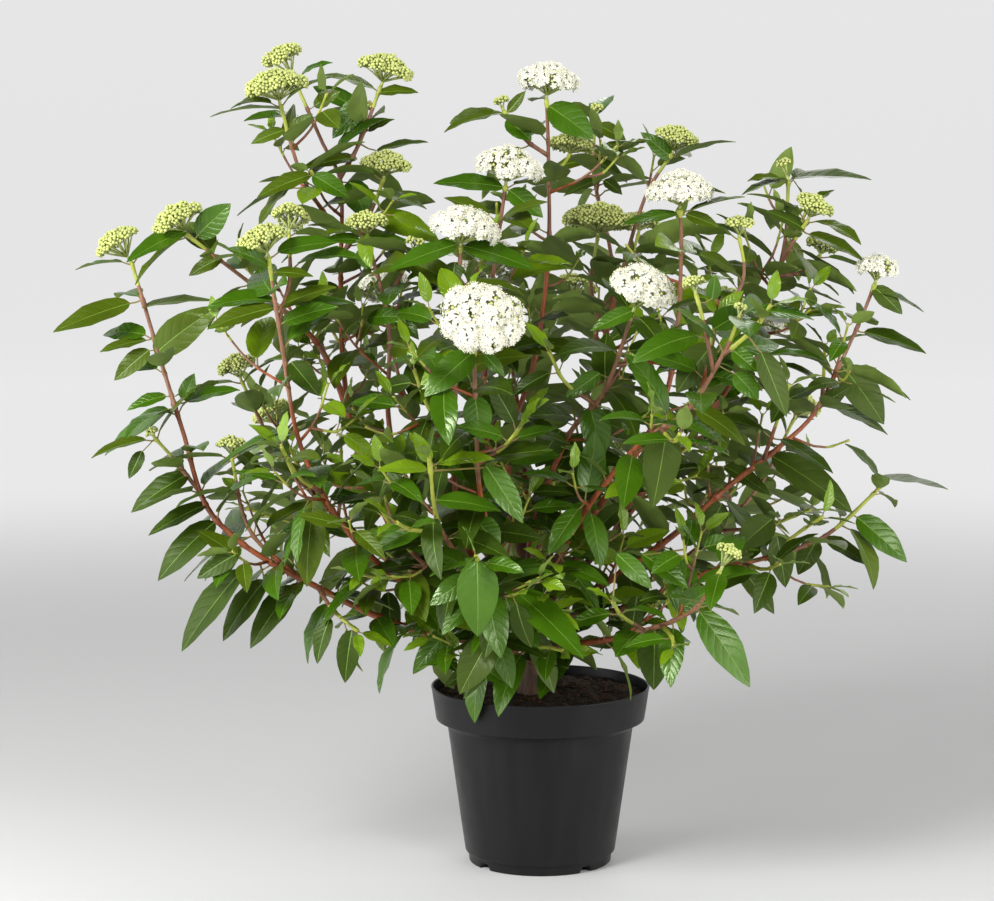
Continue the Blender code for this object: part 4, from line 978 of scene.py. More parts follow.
FOCAL = CAMERA_LENS / CAMERA_SENSOR * PHOTO_WIDTH
CAMERA_AHEAD = Vector((0, math.cos(CAMERA_DIP), -math.sin(CAMERA_DIP)))
CAMERA_UP = Vector((0, math.sin(CAMERA_DIP), math.cos(CAMERA_DIP)))

Line = namedtuple("Line", "axis first number level owner")  # a stem, fork or twig that carries leaves
Sight = namedtuple("Sight", "x y radius depth")  # a head in the photo, which nearer leaves keep clear of


def in_photo(point):
    """Where a point falls in the photo, in its pixels."""
    off = point - CAMERA_PLACE
    scale = FOCAL / off.dot(CAMERA_AHEAD)
    return PHOTO_WIDTH / 2 + scale * off.x, PHOTO_HEIGHT / 2 - scale * off.dot(CAMERA_UP)


def from_photo(x, y, depth):
    """The point on the plane y = depth that falls on a pixel of the photo."""
    way = CAMERA_AHEAD * FOCAL + CAMERA_UP * (PHOTO_HEIGHT / 2 - y) + Vector((x - PHOTO_WIDTH / 2, 0, 0))
    return CAMERA_PLACE + way * ((depth - CAMERA_PLACE.y) / way.y)


def crown_depth(point):
    """How far out a point stands in the crown: 0 at its middle, about 1 at its outline."""
    off = point - CROWN_MIDDLE
    return math.sqrt(sum((a / b) ** 2 for a, b in zip(off, CROWN_REACH)))


def spray_of(tip, level, rng):
    """Which green a spray has, by where it is in the crown. The dark deep green, chosen most often in the
    middle, is partly painted shade.
    """
    if level >= 2 and rng.random() < BRIGHT_TWIGS:
        return "bright"
    if tip.z > 0.60:
        return rng.choice(("olive", "olive", "olive", "bright", "fresh", "fresh"))
    if tip.x < -0.16:
        return rng.choice(("olive", "olive", "deep", "dull") if tip.z < 0.40 else
                          ("olive", "olive", "fresh", "fresh", "bright"))
    if tip.y < -0.08:
        return rng.choice(("fresh", "fresh", "fresh", "deep"))
    if tip.x > 0.16 or tip.y > 0.12:
        return rng.choice(("dull", "deep", "olive", "fresh"))
    return rng.choice(("deep", "deep", "fresh", "olive", "dull"))


class Plant:
    """Grows every limb, then the twigs, the flower heads and the leaves round them."""

    def __init__(self, solids):
        low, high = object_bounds()
        self.room = Room(Vector(low) - REACH_MARGIN, Vector(high) + REACH_MARGIN)
        for name in ("pot", "soil", "trunk"):
            mesh = solids[name].data
            points = [vertex.co.copy() for vertex in mesh.vertices]
            self.room.add(points, [tuple(face.vertices) for face in mesh.polygons], name)
        self.axes = {}
        self.bare_ends = {}
        self.lines = {}
        self.pairs = {}  # where the pairs of leaves stand along each line, by its owner
        self.tops = []
        self.sights = []
        self.trunk = Batch()
        self.boughs = Batch()
        self.twigs = Batch()
        self.leaves = {spray: Batch() for spray in SPRAYS}
        self.cymes = Cymes()

    def make_trunk(self):
        """The trunk with its root flare and the shallow ridges of its bark."""
        flare = FLARE_HEIGHT / (TRUNK_TIP.z - TRUNK_FOOT.z)
        centres, radii = [], []
        for i in range(TRUNK_STEPS + 1):
            place = i / TRUNK_STEPS
            radius = TRUNK_LOW + (TRUNK_HIGH - TRUNK_LOW) * place
            spread = max(0.0, 1 - place / (2 * flare))
            radii.append(radius + (TRUNK_FLARE - TRUNK_LOW) * spread**2)
            centres.append(trunk_point(place))

        def bark(turn, centre):
            around = Vector((math.cos(turn), math.sin(turn), 0)) * 2.2
            ridges = noise.noise(around * 2.0 + UP * centre.z * 25)
            fine = noise.noise(around * 6.0 + UP * centre.z * 90)
            low = max(0.0, 1 - (centre.z - SOIL_TOP) / ROOT_HEIGHT)
            roots = ROOT_SWELL * math.cos(ROOT_LOBES * turn + 0.7) * low
            return 1 + RIDGES * ridges + FINE_RIDGES * fine + roots - BARK_SINK

        sweep(self.trunk, centres, radii, TRUNK_SIDES, WOOD, bark)
        middle_line = [trunk_point(place) for place in (0, 0.25, 0.5, 0.75, TRUNK_CROWN, 1)]
        self.axes["trunk"] = Axis(middle_line, TRUNK_LOW, TRUNK_HIGH)

    def make_limb(self, shoot):
        """The whole axis of a shoot, from inside its parent to its tip, and the bark of its bough."""
        parent = self.axes[shoot.parent]
        leader = shoot.foot is None
        start = parent.tip if leader else parent.at(parent.at_height(shoot.foot))[0]
        route = [start, *shoot.route]
        if leader:
            route.insert(1, start + (start - trunk_point(TRUNK_CROWN)).normalized() * 0.008)
        radius = LEADER_RADIUS if leader else BOUGH_RADIUS if shoot.parent == "trunk" else BOUGH_TIP_RADIUS
        axis = route_axis(route, radius if shoot.bare else FORK_RADIUS, STEM_TIP_RADIUS)
        self.axes[shoot.name] = axis
        end = axis.nearest(Vector(shoot.route[shoot.bare - 1])) if shoot.bare else FRONT_BARE
        self.bare_ends[shoot.name] = end
        seed = Vector((len(self.bare_ends) * 3.7, 0, 0))

        def bark(turn, centre):
            around = Vector((math.cos(turn), math.sin(turn), 0))
            return 1 + BOUGH_RIDGES * noise.noise(around * 1.6 + centre * 90 + seed)

        steps = max(6, round(end / BOUGH_STEP))
        places = [end * i / steps for i in range(steps + 1)]
        centres = [axis.at(place)[0] for place in places]
        if leader:
            neck = TRUNK_HIGH - LEADER_RADIUS
            radii = [axis.radius_at(place) + neck * max(0.0, 1 - place / LEADER_NECK) for place in places]
        else:
            radii = [axis.radius_at(place) * (1 + COLLAR_SWELL * max(0.0, 1 - place / COLLAR))
                     for place in places]
        slots = [WOOD if centre.z < RED_ABOVE else RED if centre.z < TAN_ABOVE else TAN for centre in centres]
        sweep(self.boughs, centres, radii, BOUGH_SIDES, slots, bark)
        for low, high in ((0.02, 0.5 * end), (0.5 * end, end)):
            if high - low > 0.01:
                bar = prism(axis.at(low)[0], axis.at(high)[0], axis.radius_at(low))
                self.room.add(*bar, (shoot.name, 0))

    def add_line(self, shoot, axis, first, number, level):
        owner = (shoot.name, number)
        self.lines.setdefault(shoot.name, []).append(Line(axis, first, number, level, owner))
        steps = max(1, round((axis.length - first) / 0.05))
        points = [axis.at(first + (axis.length - first) * i / steps)[0] for i in range(steps + 1)]
        for a, b in zip(points, points[1:]):
            self.room.add(*prism(a, b, STEM_ROOM), owner)

    def add_top(self, shoot, top, axis):
        """Notes the flower head at an axis's tip, and keeps its place free."""
        if top is None:
            return
        base = axis.tip
        self.tops.append((shoot.name, base, top))
        centre = Vector(top.centre)
        half = 0.5 * top.width
        if centre.y < SEEN_DEPTH or centre.z > SEEN_HEIGHT:
            radius = half * 1.05 * FOCAL / (centre.y - CAMERA_PLACE.y)
            self.sights.append(Sight(*in_photo(centre), radius, centre.y - 0.3 * half))
        way = (centre - base).normalized()
        across, beside = square_to(way)
        ring = [centre + round_to(across, beside, turn) * half * HEAD_ROOM - way * HEAD_MARGIN
                for turn in turns(6)]
        points = ring + [base + way * HEAD_MARGIN, centre + way * (HEADS["white"].dome * half + HEAD_MARGIN)]
        faces = [(i, (i + 1) % 6, 7) for i in range(6)] + [((i + 1) % 6, i, 6) for i in range(6)]
        self.room.add(points, faces, (shoot.name, "head"))

    def make_stem(self, shoot):
        """The stem of a mass with its forks and heads, and the twigs on them."""
        rng = random.Random(shoot.name)
        axis, end = self.axes[shoot.name], self.bare_ends[shoot.name]
        self.add_line(shoot, axis, end if shoot.bare else FRONT_FIRST_PAIR, 0, 0)
        self.add_top(shoot, shoot.top, axis)
        for number, side in enumerate(shoot.forks, 1):
            foot = Vector(side.route[0])
            near = min((line.axis.at(line.axis.nearest(foot))[0] for line in self.lines[shoot.name]),
                       key=lambda point: (point - foot).length)
            branch = route_axis([near, *side.route[1:]], FORK_RADIUS, TWIG_RADIUS)
            self.add_line(shoot, branch, FIRST_PAIR, number, 1)
            self.add_top(shoot, side.top, branch)
        self.add_side_twigs(shoot, rng)
        if shoot.bare and shoot.foot is not None:
            bough = Line(axis.part(0.25 * end, end, 0.03), 0.0, 0, 0, (shoot.name, 0))
            for _ in range(INNER_TWIGS):
                self.try_twig(shoot, bough, rng.uniform(0, bough.axis.length), TWIG_LENGTH * 0.8, 2, rng)

    def add_side_twigs(self, shoot, rng):
        """Twigs in the axils of the stem and its forks, and finer ones on those, most of them deep inside."""
        for level, every, length, outer in ((2, TWIG_EVERY, TWIG_LENGTH, 0.30),
                                            (3, FINE_TWIG_EVERY, FINE_TWIG_LENGTH, 0.12)):
            for line in list(self.lines[shoot.name]):
                if (level == 2) != (line.level < 2):
                    continue
                distance = line.first + rng.uniform(0.01, every)
                while distance < line.axis.length - 0.035:
                    if crown_depth(line.axis.at(distance)[0]) < OUTER or rng.random() < outer:
                        self.try_twig(shoot, line, distance, length, level, rng)
                    distance += every * rng.uniform(0.7, 1.3)

    def try_twig(self, shoot, line, distance, length, level, rng):
        """A side twig at this distance along a line, in the first direction of a few that has room for it."""
        point, way = line.axis.at(distance)
        for _ in range(TWIG_TRIES):
            out = outward(way, rng.uniform(0, 2 * math.pi))
            lean = (out + way * rng.uniform(0.5, 1.0)).normalized()
            end = point + lean * length * rng.uniform(0.55, 1.15)
            middle = point.lerp(end, 0.5) - UP * 0.003 + out * 0.003
            branch = Axis(smooth_points([point, middle, end + UP * 0.008], 4), TWIG_RADIUS, TWIG_TIP_RADIUS)
            points, faces = prism(branch.at(0.012)[0], branch.tip, TWIG_ROOM)
            if self.in_view_gap(points) or not self.room.inside(points):
                continue
            if self.room.free(points, faces, {line.owner}):
                self.add_line(shoot, branch, FIRST_PAIR, len(self.lines[shoot.name]) + 10, level)
                return

    def in_view_gap(self, points):
        """True where a point hides a flower head or fills a patch that the photo shows open."""
        for point in points:
            x, y = in_photo(point)
            if any((x - a) ** 2 + (y - b) ** 2 < radius**2 for a, b, radius in SKY):
                return True
            if any(point.y < sight.depth and (x - sight.x) ** 2 + (y - sight.y) ** 2 < sight.radius**2
                   for sight in self.sights):
                return True
        return False

    # ------------------------------------------------------------ leaves

    def add_key_leaf(self, name, spray, root_x, root_y, tip_x, tip_y, width):
        """One of the leaves that catch the eye, on the stem of its shoot nearest to it in the photo."""
        def miss(place):
            x, y = in_photo(place[2])
            return (x - root_x) ** 2 + (y - root_y) ** 2

        places = []
        for line in self.lines[name]:
            steps = max(2, round(line.axis.length / KEY_STEP))
            for i in range(steps + 1):
                distance = line.axis.length * i / steps
                if distance >= min(line.first, 0.9 * line.axis.length):
                    places.append((line, distance, line.axis.at(distance)[0]))
        line, distance, point = min(places, key=miss)
        start, end = from_photo(root_x, root_y, point.y), from_photo(tip_x, tip_y, point.y)
        span = end - start
        wide = width * (point.y - CAMERA_PLACE.y) / FOCAL
        shown = min(0.95, wide / (EDGE_ON * span.length))
        tilt = math.asin(shown) - CAMERA_DIP
        rng = random.Random(f"{name} {root_x} {tip_x}")
        pair = (name, line.number, f"key {root_x} {tip_x}")
        for forward in KEY_REACHES:
            along = Vector((span.x, -forward * span.length, span.z))
            bend = rng.uniform(0.25, 0.50)
            leaf = Leaf(
                length=along.length * 1.02, width=wide / shown, fold=rng.uniform(0.12, 0.35), bend=bend,
                twist=rng.uniform(-0.15, 0.15), sway=rng.uniform(-0.05, 0.05), wave=0.0010,
                phase=rng.random())
            along = along.normalized()
            face = Vector((0.25 * along.x, -math.sin(tilt), math.cos(tilt)))
            raised = Matrix.Rotation(-0.45 * bend, 3, face.cross(along).normalized()) @ along
            if self.leaf_fits(leaf, placed(start, raised, face), point, line.owner, pair, spray):
                self.pairs.setdefault(line.owner, []).append(distance)
                return

    def leaf_fits(self, leaf, matrix, foot, owner, pair, spray, bounded=False):
        """Adds the leaf if there is room, and says so. A bounded one keeps to the crown and the photo."""
        points, faces = kite(leaf)
        points = [matrix @ corner for corner in points]
        if bounded and (min(corner.z for corner in points) < LEAF_FLOOR or not self.room.inside(points)
                        or self.in_view_gap(points[:4])):
            return False
        if not self.room.free(points, faces, {owner, pair}):
            return False
        add_leaf(self.leaves[spray], leaf, matrix, foot)
        self.room.add(points, faces, pair)
        return True

    def top_at(self, tip):
        """The flower head that stands on this tip, or None."""
        return next((top for _, base, top in self.tops if (base - tip).length < SAME_PLACE), None)

    def make_leaves(self, shoot):
        """Opposite pairs from the tip of each twig back to its foot, the youngest small and upright."""
        for line in self.lines[shoot.name]:
            rng = random.Random(f"{shoot.name} {line.number} leaves")
            axis = line.axis
            tip = axis.tip
            turn = math.atan2(tip.y, tip.x) + rng.uniform(-0.5, 0.5)
            spray = spray_of(tip, line.level, rng)
            young = self.top_at(tip) is None
            pairs = self.pairs.setdefault(line.owner, [])
            distance = axis.length - (0.002 if young else 0.003)
            scale = TIP_SCALES[0 if young else 1]
            while distance > line.first:
                pairs.append(distance)
                droop = 0.50 * min(1, (axis.length - distance) / 0.30) + 0.25 * (tip.z < 0.35)
                for side in (0, math.pi):
                    self.try_leaf(line, distance, turn + side, scale, droop,
                                  "bright" if young and line.level > 0 else spray, young, rng)
                young = False
                step = PAIR_SPACING * rng.uniform(0.80, 1.20)
                distance -= step * (0.45 if scale < 0.6 else 1.0)
                turn += math.pi / 2 + rng.uniform(-0.35, 0.35)
                scale = min(1.0, scale + SCALE_STEP)

    def try_leaf(self, line, distance, turn, scale, droop, spray, young, rng):
        """A leaf at this distance along a line, at the first swing from its turn that has room for it."""
        point, way = line.axis.at(distance)
        pair = (line.owner[0], line.number, round(distance, 4))
        radial = Vector((point.x, point.y, 0)).normalized()
        for attempt, swing in enumerate(LEAF_SWINGS):
            length = LEAF_LENGTH * scale * rng.uniform(0.80, 1.12)
            if attempt >= FULL_LEAF_TRIES:
                length *= SMALL_LEAF
            out = outward(way, turn + swing + rng.uniform(-0.25, 0.25))
            spread = math.radians(rng.uniform(*(YOUNG_SPREAD if young else LEAF_SPREAD)))
            along = out * math.sin(spread) + way * math.cos(spread)
            sink = 0 if young else (droop + rng.uniform(-0.15, 0.30)) * (0.45 + 0.55 * out.dot(radial))
            along = (along - UP * sink).normalized()
            roll = Matrix.Rotation(rng.gauss(0, LEAF_ROLL), 3, along)
            leaf = Leaf(
                length=length, width=length * rng.uniform(*LEAF_WIDTHS), fold=rng.uniform(*LEAF_FOLDS),
                bend=YOUNG_BEND if young else rng.uniform(*LEAF_BENDS),
                twist=rng.uniform(-LEAF_TWIST, LEAF_TWIST), sway=rng.uniform(-LEAF_SWAY, LEAF_SWAY),
                wave=LEAF_WAVE * rng.uniform(0.2, 1.3), phase=rng.random())
            petiole = (along * 0.8 + way * 0.45 + out * 0.2).normalized()
            start = point + petiole * PETIOLE * min(1, scale + 0.2)
            matrix = placed(start, along, roll @ (UP * 0.85 + radial * 0.5 + out * 0.2))
            if self.leaf_fits(leaf, matrix, point, line.owner, pair, spray, bounded=True):
                return

    # ------------------------------------------------------------ wood of the masses

    def make_twig(self, line):
        """The tube of a stem or twig, thicker at each pair of leaves, red below and green at its tip."""
        axis = line.axis
        pairs = self.pairs.get(line.owner, ())
        start = line.first - 0.001 if line.level == 0 else 0.0
        steps = max(3, round((axis.length - start) / 0.012))
        places = {start + (axis.length - start) * i / steps for i in range(steps + 1)}
        for pair in pairs:
            places |= {pair - 0.003, pair, pair + 0.003}
        places = sorted(place for place in places if start <= place <= axis.length)
        kept = [places[0]]
        for place in places[1:]:
            if place - kept[-1] > 0.0009:
                kept.append(place)
        top = self.top_at(axis.tip)
        green_length = HEADS[top.kind].stem if top else GREEN_LENGTHS[line.level]
        radii, slots = [], []
        for place in kept:
            swell = sum(NODE_SWELL * math.exp(-(((place - pair) / NODE_HALF) ** 2)) for pair in pairs)
            radii.append(axis.radius_at(place) * (1 + swell))
            left = axis.length - place
            slots.append(GREEN if left < green_length else TAN if left < TAN_LENGTHS[line.level] else RED)
        sweep(self.twigs, [axis.at(place)[0] for place in kept], radii, 8 if line.level < 2 else 6, slots)

    def grow(self):
        self.make_trunk()
        order = sorted(SHOOTS, key=lambda shoot: shoot.parent != "trunk")
        for shoot in order:
            self.make_limb(shoot)
        for shoot in order:
            self.make_stem(shoot)
        for name, rows in KEY_LEAVES.items():
            for row in rows:
                self.add_key_leaf(name, *row)
        for shoot in order:
            self.make_leaves(shoot)
        for shoot in order:
            for line in self.lines[shoot.name]:
                self.make_twig(line)
        for number, (name, base, top) in enumerate(self.tops):
            self.cymes.add(base, top, random.Random(f"{name} head {number}"))


# ---------------------------------------------------------------- materials


class Look:
    """A Principled material, with small helpers to link its nodes."""

    def __init__(self, name, roughness, **sockets):
        self.material = bpy.data.materials.new(name)
        self.material.use_nodes = True
        self.tree = self.material.node_tree
        self.shader = self.tree.nodes["Principled BSDF"]
        self.shader.inputs["Roughness"].default_value = roughness
        for socket, value in sockets.items():
            self.shader.inputs[socket.replace("_", " ")].default_value = value

    def node(self, kind, **values):
        """A new node. Each value goes to the input of that name, with _ for a space, or to the property."""
        made = self.tree.nodes.new(kind)
        for name, value in values.items():
            if name.replace("_", " ") in made.inputs:
                made.inputs[name.replace("_", " ")].default_value = value
            else:
                setattr(made, name, value)
        return made

    def link(self, source, target):
        self.tree.links.new(source, target)

    def place(self, coordinates="Object"):
        return self.node("ShaderNodeTexCoord").outputs[coordinates]

    def stretched(self, height):
        """The place, with its height scaled, so that a noise on it runs upright."""
        made = self.node("ShaderNodeMapping", Scale=(1.0, 1.0, height))
        self.link(self.place(), made.inputs["Vector"])
        return made.outputs["Vector"]

    def noise(self, scale, detail=2.0, source=None):
        made = self.node("ShaderNodeTexNoise", Scale=scale, Detail=detail)
        self.link(source or self.place(), made.inputs["Vector"])
        return made.outputs["Fac"]

    def math(self, operation, first, second=0.0):
        made = self.node("ShaderNodeMath", operation=operation)
        for socket, value in zip(made.inputs, (first, second)):
            if isinstance(value, (int, float)):
                socket.default_value = value
            else:
                self.link(value, socket)
        return made.outputs[0]

    def ramp(self, source, *stops):
        """Colours along a value, from (position, colour) stops."""
        made = self.node("ShaderNodeValToRGB")
        elements = made.color_ramp.elements
        while len(elements) < len(stops):
            elements.new(0.5)
        for element, (position, colour) in zip(elements, stops):
            element.position = position
            element.color = (*colour, 1)
        self.link(source, made.inputs["Fac"])
        return made.outputs["Color"]

    def colour(self, source):
        self.link(source, self.shader.inputs["Base Color"])

    def roughness(self, source, low, high):
        made = self.node("ShaderNodeMapRange", From_Min=0.3, From_Max=0.7, To_Min=low, To_Max=high)
        self.link(source, made.inputs["Value"])
        self.link(made.outputs["Result"], self.shader.inputs["Roughness"])

    def bump(self, height, strength, distance):
        made = self.node("ShaderNodeBump", Strength=strength, Distance=distance)
        self.link(height, made.inputs["Height"])
        self.link(made.outputs["Normal"], self.shader.inputs["Normal"])


def scaled(colour, share):
    return tuple(min(1.0, c * share) for c in colour)


def shades(colour, spread):
    """Three stops round a colour: darker, itself and lighter."""
    return (0.30, scaled(colour, 1 - spread)), (0.50, colour), (0.72, scaled(colour, 1 + spread))


LEAF_SHEEN = (0.86, 1.0, 0.66, 1)
LEAF_GREENS = {
    "bright": (0.140, 0.240, 0.005),
    "fresh": (0.042, 0.112, 0.002),
    # deep is partly the dark green of older leaves and partly painted shade: it is kept dark for the leaves
    # inside the crown, where shade falls
    "deep": (0.028, 0.055, 0.002),
    "olive": (0.060, 0.096, 0.003),
    "dull": (0.046, 0.076, 0.008),
}
GLOSSY_SPRAYS = ("bright", "fresh")
SIDE_VEINS = 7.0  # on each side of a leaf
VEIN_SLANT = 3.2  # spans between veins that one runs forward, out to the margin


def leaf_look(spray):
    """A glossy upper side, with side veins that leave the midrib at a slant."""
    roughness, shine = (0.25, 0.62) if spray in GLOSSY_SPRAYS else (0.36, 0.28)
    look = Look(f"leaf_{spray}", roughness, Specular_IOR_Level=shine, Specular_Tint=LEAF_SHEEN)
    cloud = look.noise(26.0, 1.0)
    look.colour(look.ramp(cloud, *shades(LEAF_GREENS[spray], 0.14)))
    look.roughness(cloud, roughness - 0.06, roughness + 0.10)
    parts = look.node("ShaderNodeSeparateXYZ")
    look.link(look.place("UV"), parts.inputs[0])
    side = look.math("ABSOLUTE", look.math("SUBTRACT", parts.outputs["Y"], 0.5))
    slant = look.math("SUBTRACT", look.math("MULTIPLY", parts.outputs["X"], SIDE_VEINS),
                      look.math("MULTIPLY", side, VEIN_SLANT))
    vein = look.math("ABSOLUTE", look.math("SINE", look.math("MULTIPLY", slant, math.pi)))
    height = look.math("POWER", vein, 0.35)
    cells = look.math("MULTIPLY", look.noise(700.0, 0.0), 0.35)
    look.bump(look.math("ADD", height, cells), 0.45, 0.0006)
    return look.material


def plain_look(name, colour, roughness, spread=0.2, scale=120.0, **sockets):
    look = Look(name, roughness, **sockets)
    cloud = look.noise(scale, 4.0)
    look.colour(look.ramp(cloud, *shades(colour, spread)))
    look.roughness(cloud, roughness - 0.06, roughness + 0.06)
    look.bump(look.noise(scale * 6, 3.0), 0.2, 0.0003)
    return look.material


def wood_look(name, colour, other, roughness):
    """Bark: long streaks of two browns, with small pale breathing pores."""
    look = Look(name, roughness)
    streak = look.noise(220.0, 5.0, look.stretched(0.25))
    pores = look.node("ShaderNodeTexVoronoi", Scale=420.0)
    look.link(look.place(), pores.inputs["Vector"])
    dots = look.math("LESS_THAN", pores.outputs["Distance"], 0.16)
    mixed = look.node("ShaderNodeMix", data_type="RGBA")
    look.link(look.math("MULTIPLY", dots, 0.55), mixed.inputs["Factor"])
    look.link(look.ramp(streak, (0.32, other), (0.55, colour), (0.75, scaled(colour, 1.35))),
              mixed.inputs["A"])
    mixed.inputs["B"].default_value = (*(min(1, c * 1.5 + 0.05) for c in colour), 1)
    look.colour(mixed.outputs["Result"])
    look.roughness(streak, roughness - 0.1, roughness + 0.1)
    look.bump(look.math("ADD", streak, look.math("MULTIPLY", dots, 0.4)), 0.45, 0.0006)
    return look.material


def pot_look():
    """Moulded dark plastic: a fine matt grain and faint upright flow marks."""
    look = Look("pot_plastic", 0.38, Specular_IOR_Level=0.22)
    flow = look.noise(60.0, 3.0, look.stretched(0.05))
    look.colour(look.ramp(flow, (0.3, (0.0055, 0.0056, 0.0058)), (0.6, (0.0080, 0.0081, 0.0083)),
                          (0.8, (0.0120, 0.0120, 0.0120))))
    look.roughness(look.noise(45.0, 4.0), 0.32, 0.44)
    look.bump(look.noise(1500.0, 2.0), 0.16, 0.0002)
    return look.material


def soil_look(name, dark, light):
    look = Look(name, 0.95)
    clods = look.noise(140.0, 6.0)
    look.colour(look.ramp(clods, (0.35, dark), (0.62, light), (0.80, scaled(light, 1.8))))
    look.bump(look.noise(500.0, 6.0), 0.8, 0.0015)
    return look.material


PAPER_NEAR = 0.9
PAPER_FAR = 3.6
PAPER_GLOW = 0.72


def paper_look():
    """Pale studio paper. Far from the plant, where no lamp reaches, it glows and reflects little."""
    look = Look("studio_paper", 0.7, Specular_IOR_Level=0.2, Emission_Color=(1, 1, 1, 1))
    reach = look.node("ShaderNodeVectorMath", operation="LENGTH")
    look.link(look.place(), reach.inputs[0])
    far = look.node("ShaderNodeMapRange", interpolation_type="SMOOTHERSTEP",
                    From_Min=PAPER_NEAR, From_Max=PAPER_FAR)
    look.link(reach.outputs["Value"], far.inputs["Value"])
    look.colour(look.ramp(far.outputs["Result"], (0.0, (0.60, 0.60, 0.595)), (1.0, (0.10, 0.10, 0.10))))
    look.link(look.math("MULTIPLY", far.outputs["Result"], PAPER_GLOW),
              look.shader.inputs["Emission Strength"])
    look.material.cycles.emission_sampling = "NONE"
    return look.material


# ---------------------------------------------------------------- pot and compost


def arc(centre, radius, start, end, steps):
    """Points of an arc in the (radius, height) plane, angles in degrees."""
    found = []
    for i in range(steps + 1):
        angle = math.radians(start + (end - start) * i / steps)
        found.append((centre[0] + radius * math.cos(angle), centre[1] + radius * math.sin(angle)))
    return found


def slope(low, high, steps):
    """Even points from low, left out, to high."""
    return [tuple(a + (b - a) * i / steps for a, b in zip(low, high)) for i in range(1, steps + 1)]


def notch_lift(x, y):
    """How high the foot is cut away here for the nearest drain notch."""
    lift = 0.0
    for notch in NOTCH_TURNS:
        off = (math.degrees(math.atan2(y, x)) - notch + 180) % 360 - 180
        across = math.radians(off) * FOOT_RADIUS / (0.5 * NOTCH_WIDTH)
        if abs(across) < 1:
            lift = NOTCH_HEIGHT * min(1.0, 1.9 * math.sqrt(1 - across**2))
    return lift


def make_pot():
    """The pot's shell, turned in fine steps, with rolled edges, a shoulder, and a foot with drain notches."""
    rim_low = POT_HEIGHT - RIM_DEPTH
    top = rim_low - SHOULDER_DEPTH
    inside = FOOT_RADIUS - FOOT_RING
    profile = [(0.0, FLOOR_RISE), (inside - 0.002, FLOOR_RISE), (inside, 0.0)]
    profile += arc((FOOT_RADIUS - FOOT_EDGE, FOOT_EDGE), FOOT_EDGE, -90, 0, 4)
    profile += [(FOOT_RADIUS + 0.0005, FOOT_HEIGHT - 0.004), (FOOT_RADIUS + 0.0012, FOOT_HEIGHT - 0.002)]
    profile += arc((WALL_LOW_RADIUS - WALL_EDGE, FOOT_HEIGHT + 0.0005), WALL_EDGE, -60, 0, 4)
    profile += slope((WALL_LOW_RADIUS, FOOT_HEIGHT), (WALL_TOP_RADIUS, top), 14)
    profile += [(WALL_TOP_RADIUS + 0.0012, top + 0.003), (WALL_TOP_RADIUS + 0.0042, top + 0.0055),
                (RIM_LOW_RADIUS - 0.0035, rim_low - 0.0014)]
    profile += arc((RIM_LOW_RADIUS - BAND_EDGE, rim_low + 0.0010), BAND_EDGE, -70, 0, 4)
    profile += slope((RIM_LOW_RADIUS, rim_low + 0.001), (RIM_RADIUS - 0.0004, POT_HEIGHT - 2 * RIM_EDGE), 8)
    profile += arc((RIM_RADIUS - RIM_EDGE, POT_HEIGHT - RIM_EDGE), RIM_EDGE, -10, 180, 10)
    profile += [(RIM_RADIUS - WALL - 0.0006, POT_HEIGHT - 0.004), (RIM_LOW_RADIUS - WALL, rim_low),
                (WALL_TOP_RADIUS - WALL, top), (WALL_TOP_RADIUS - 0.012, INNER_FLOOR), (0.0, INNER_FLOOR)]
    rows = []
    for x, y, z in turned(profile, ROUND_STEPS):
        notched = z < FOOT_HEIGHT and math.hypot(x, y) > inside - 0.001
        rows.append((x, y, max(z, notch_lift(x, y)) if notched else z))
    batch = Batch()
    batch.add(rows, grid_faces(len(profile), ROUND_STEPS, closed=True), 0)
    finished(batch.build("pot_shell", [pot_look()], sharp=40), "pot", "pot")


def soil_height(point):
    wide = noise.noise(point * 22) * 0.0028
    clod = noise.noise(point * 75) * 0.0022
    fine = noise.noise(point * 260) * 0.0012
    edge = -0.0030 * (point.length / SOIL_RADIUS) ** 4
    return SOIL_TOP + SOIL_HEAP + wide + clod + fine + edge


def soil_point(reach, turn):
    """The point of the compost's surface at this reach from the middle."""
    point = Vector((reach * math.cos(turn), reach * math.sin(turn), 0))
    point.z = soil_height(point)
    return point


def crumb(batch, point, size, rng):
    """One angular lump or shred, half sunk."""
    long = rng.uniform(1.0, 2.6)
    ring = [
        Vector((math.cos(t) * size * long * rng.uniform(0.7, 1.2), math.sin(t) * size * rng.uniform(0.7, 1.2),
                rng.uniform(-0.2, 0.3) * size))
        for t in (0, 1.26, 2.51, 3.77, 5.03)
    ]
    shape = ring + [Vector((0, 0, size * rng.uniform(0.6, 1.0))), Vector((0, 0, -size))]
    turn = Matrix.Rotation(rng.uniform(0, 6.28), 3, "Z") @ Matrix.Rotation(rng.uniform(-0.6, 0.6), 3, "X")
    points = [tuple(point + turn @ corner) for corner in shape]
    faces = [(i, (i + 1) % 5, 5) for i in range(5)] + [((i + 1) % 5, i, 6) for i in range(5)]
    batch.add(points, faces, 1 if rng.random() < SHREDS else 0)


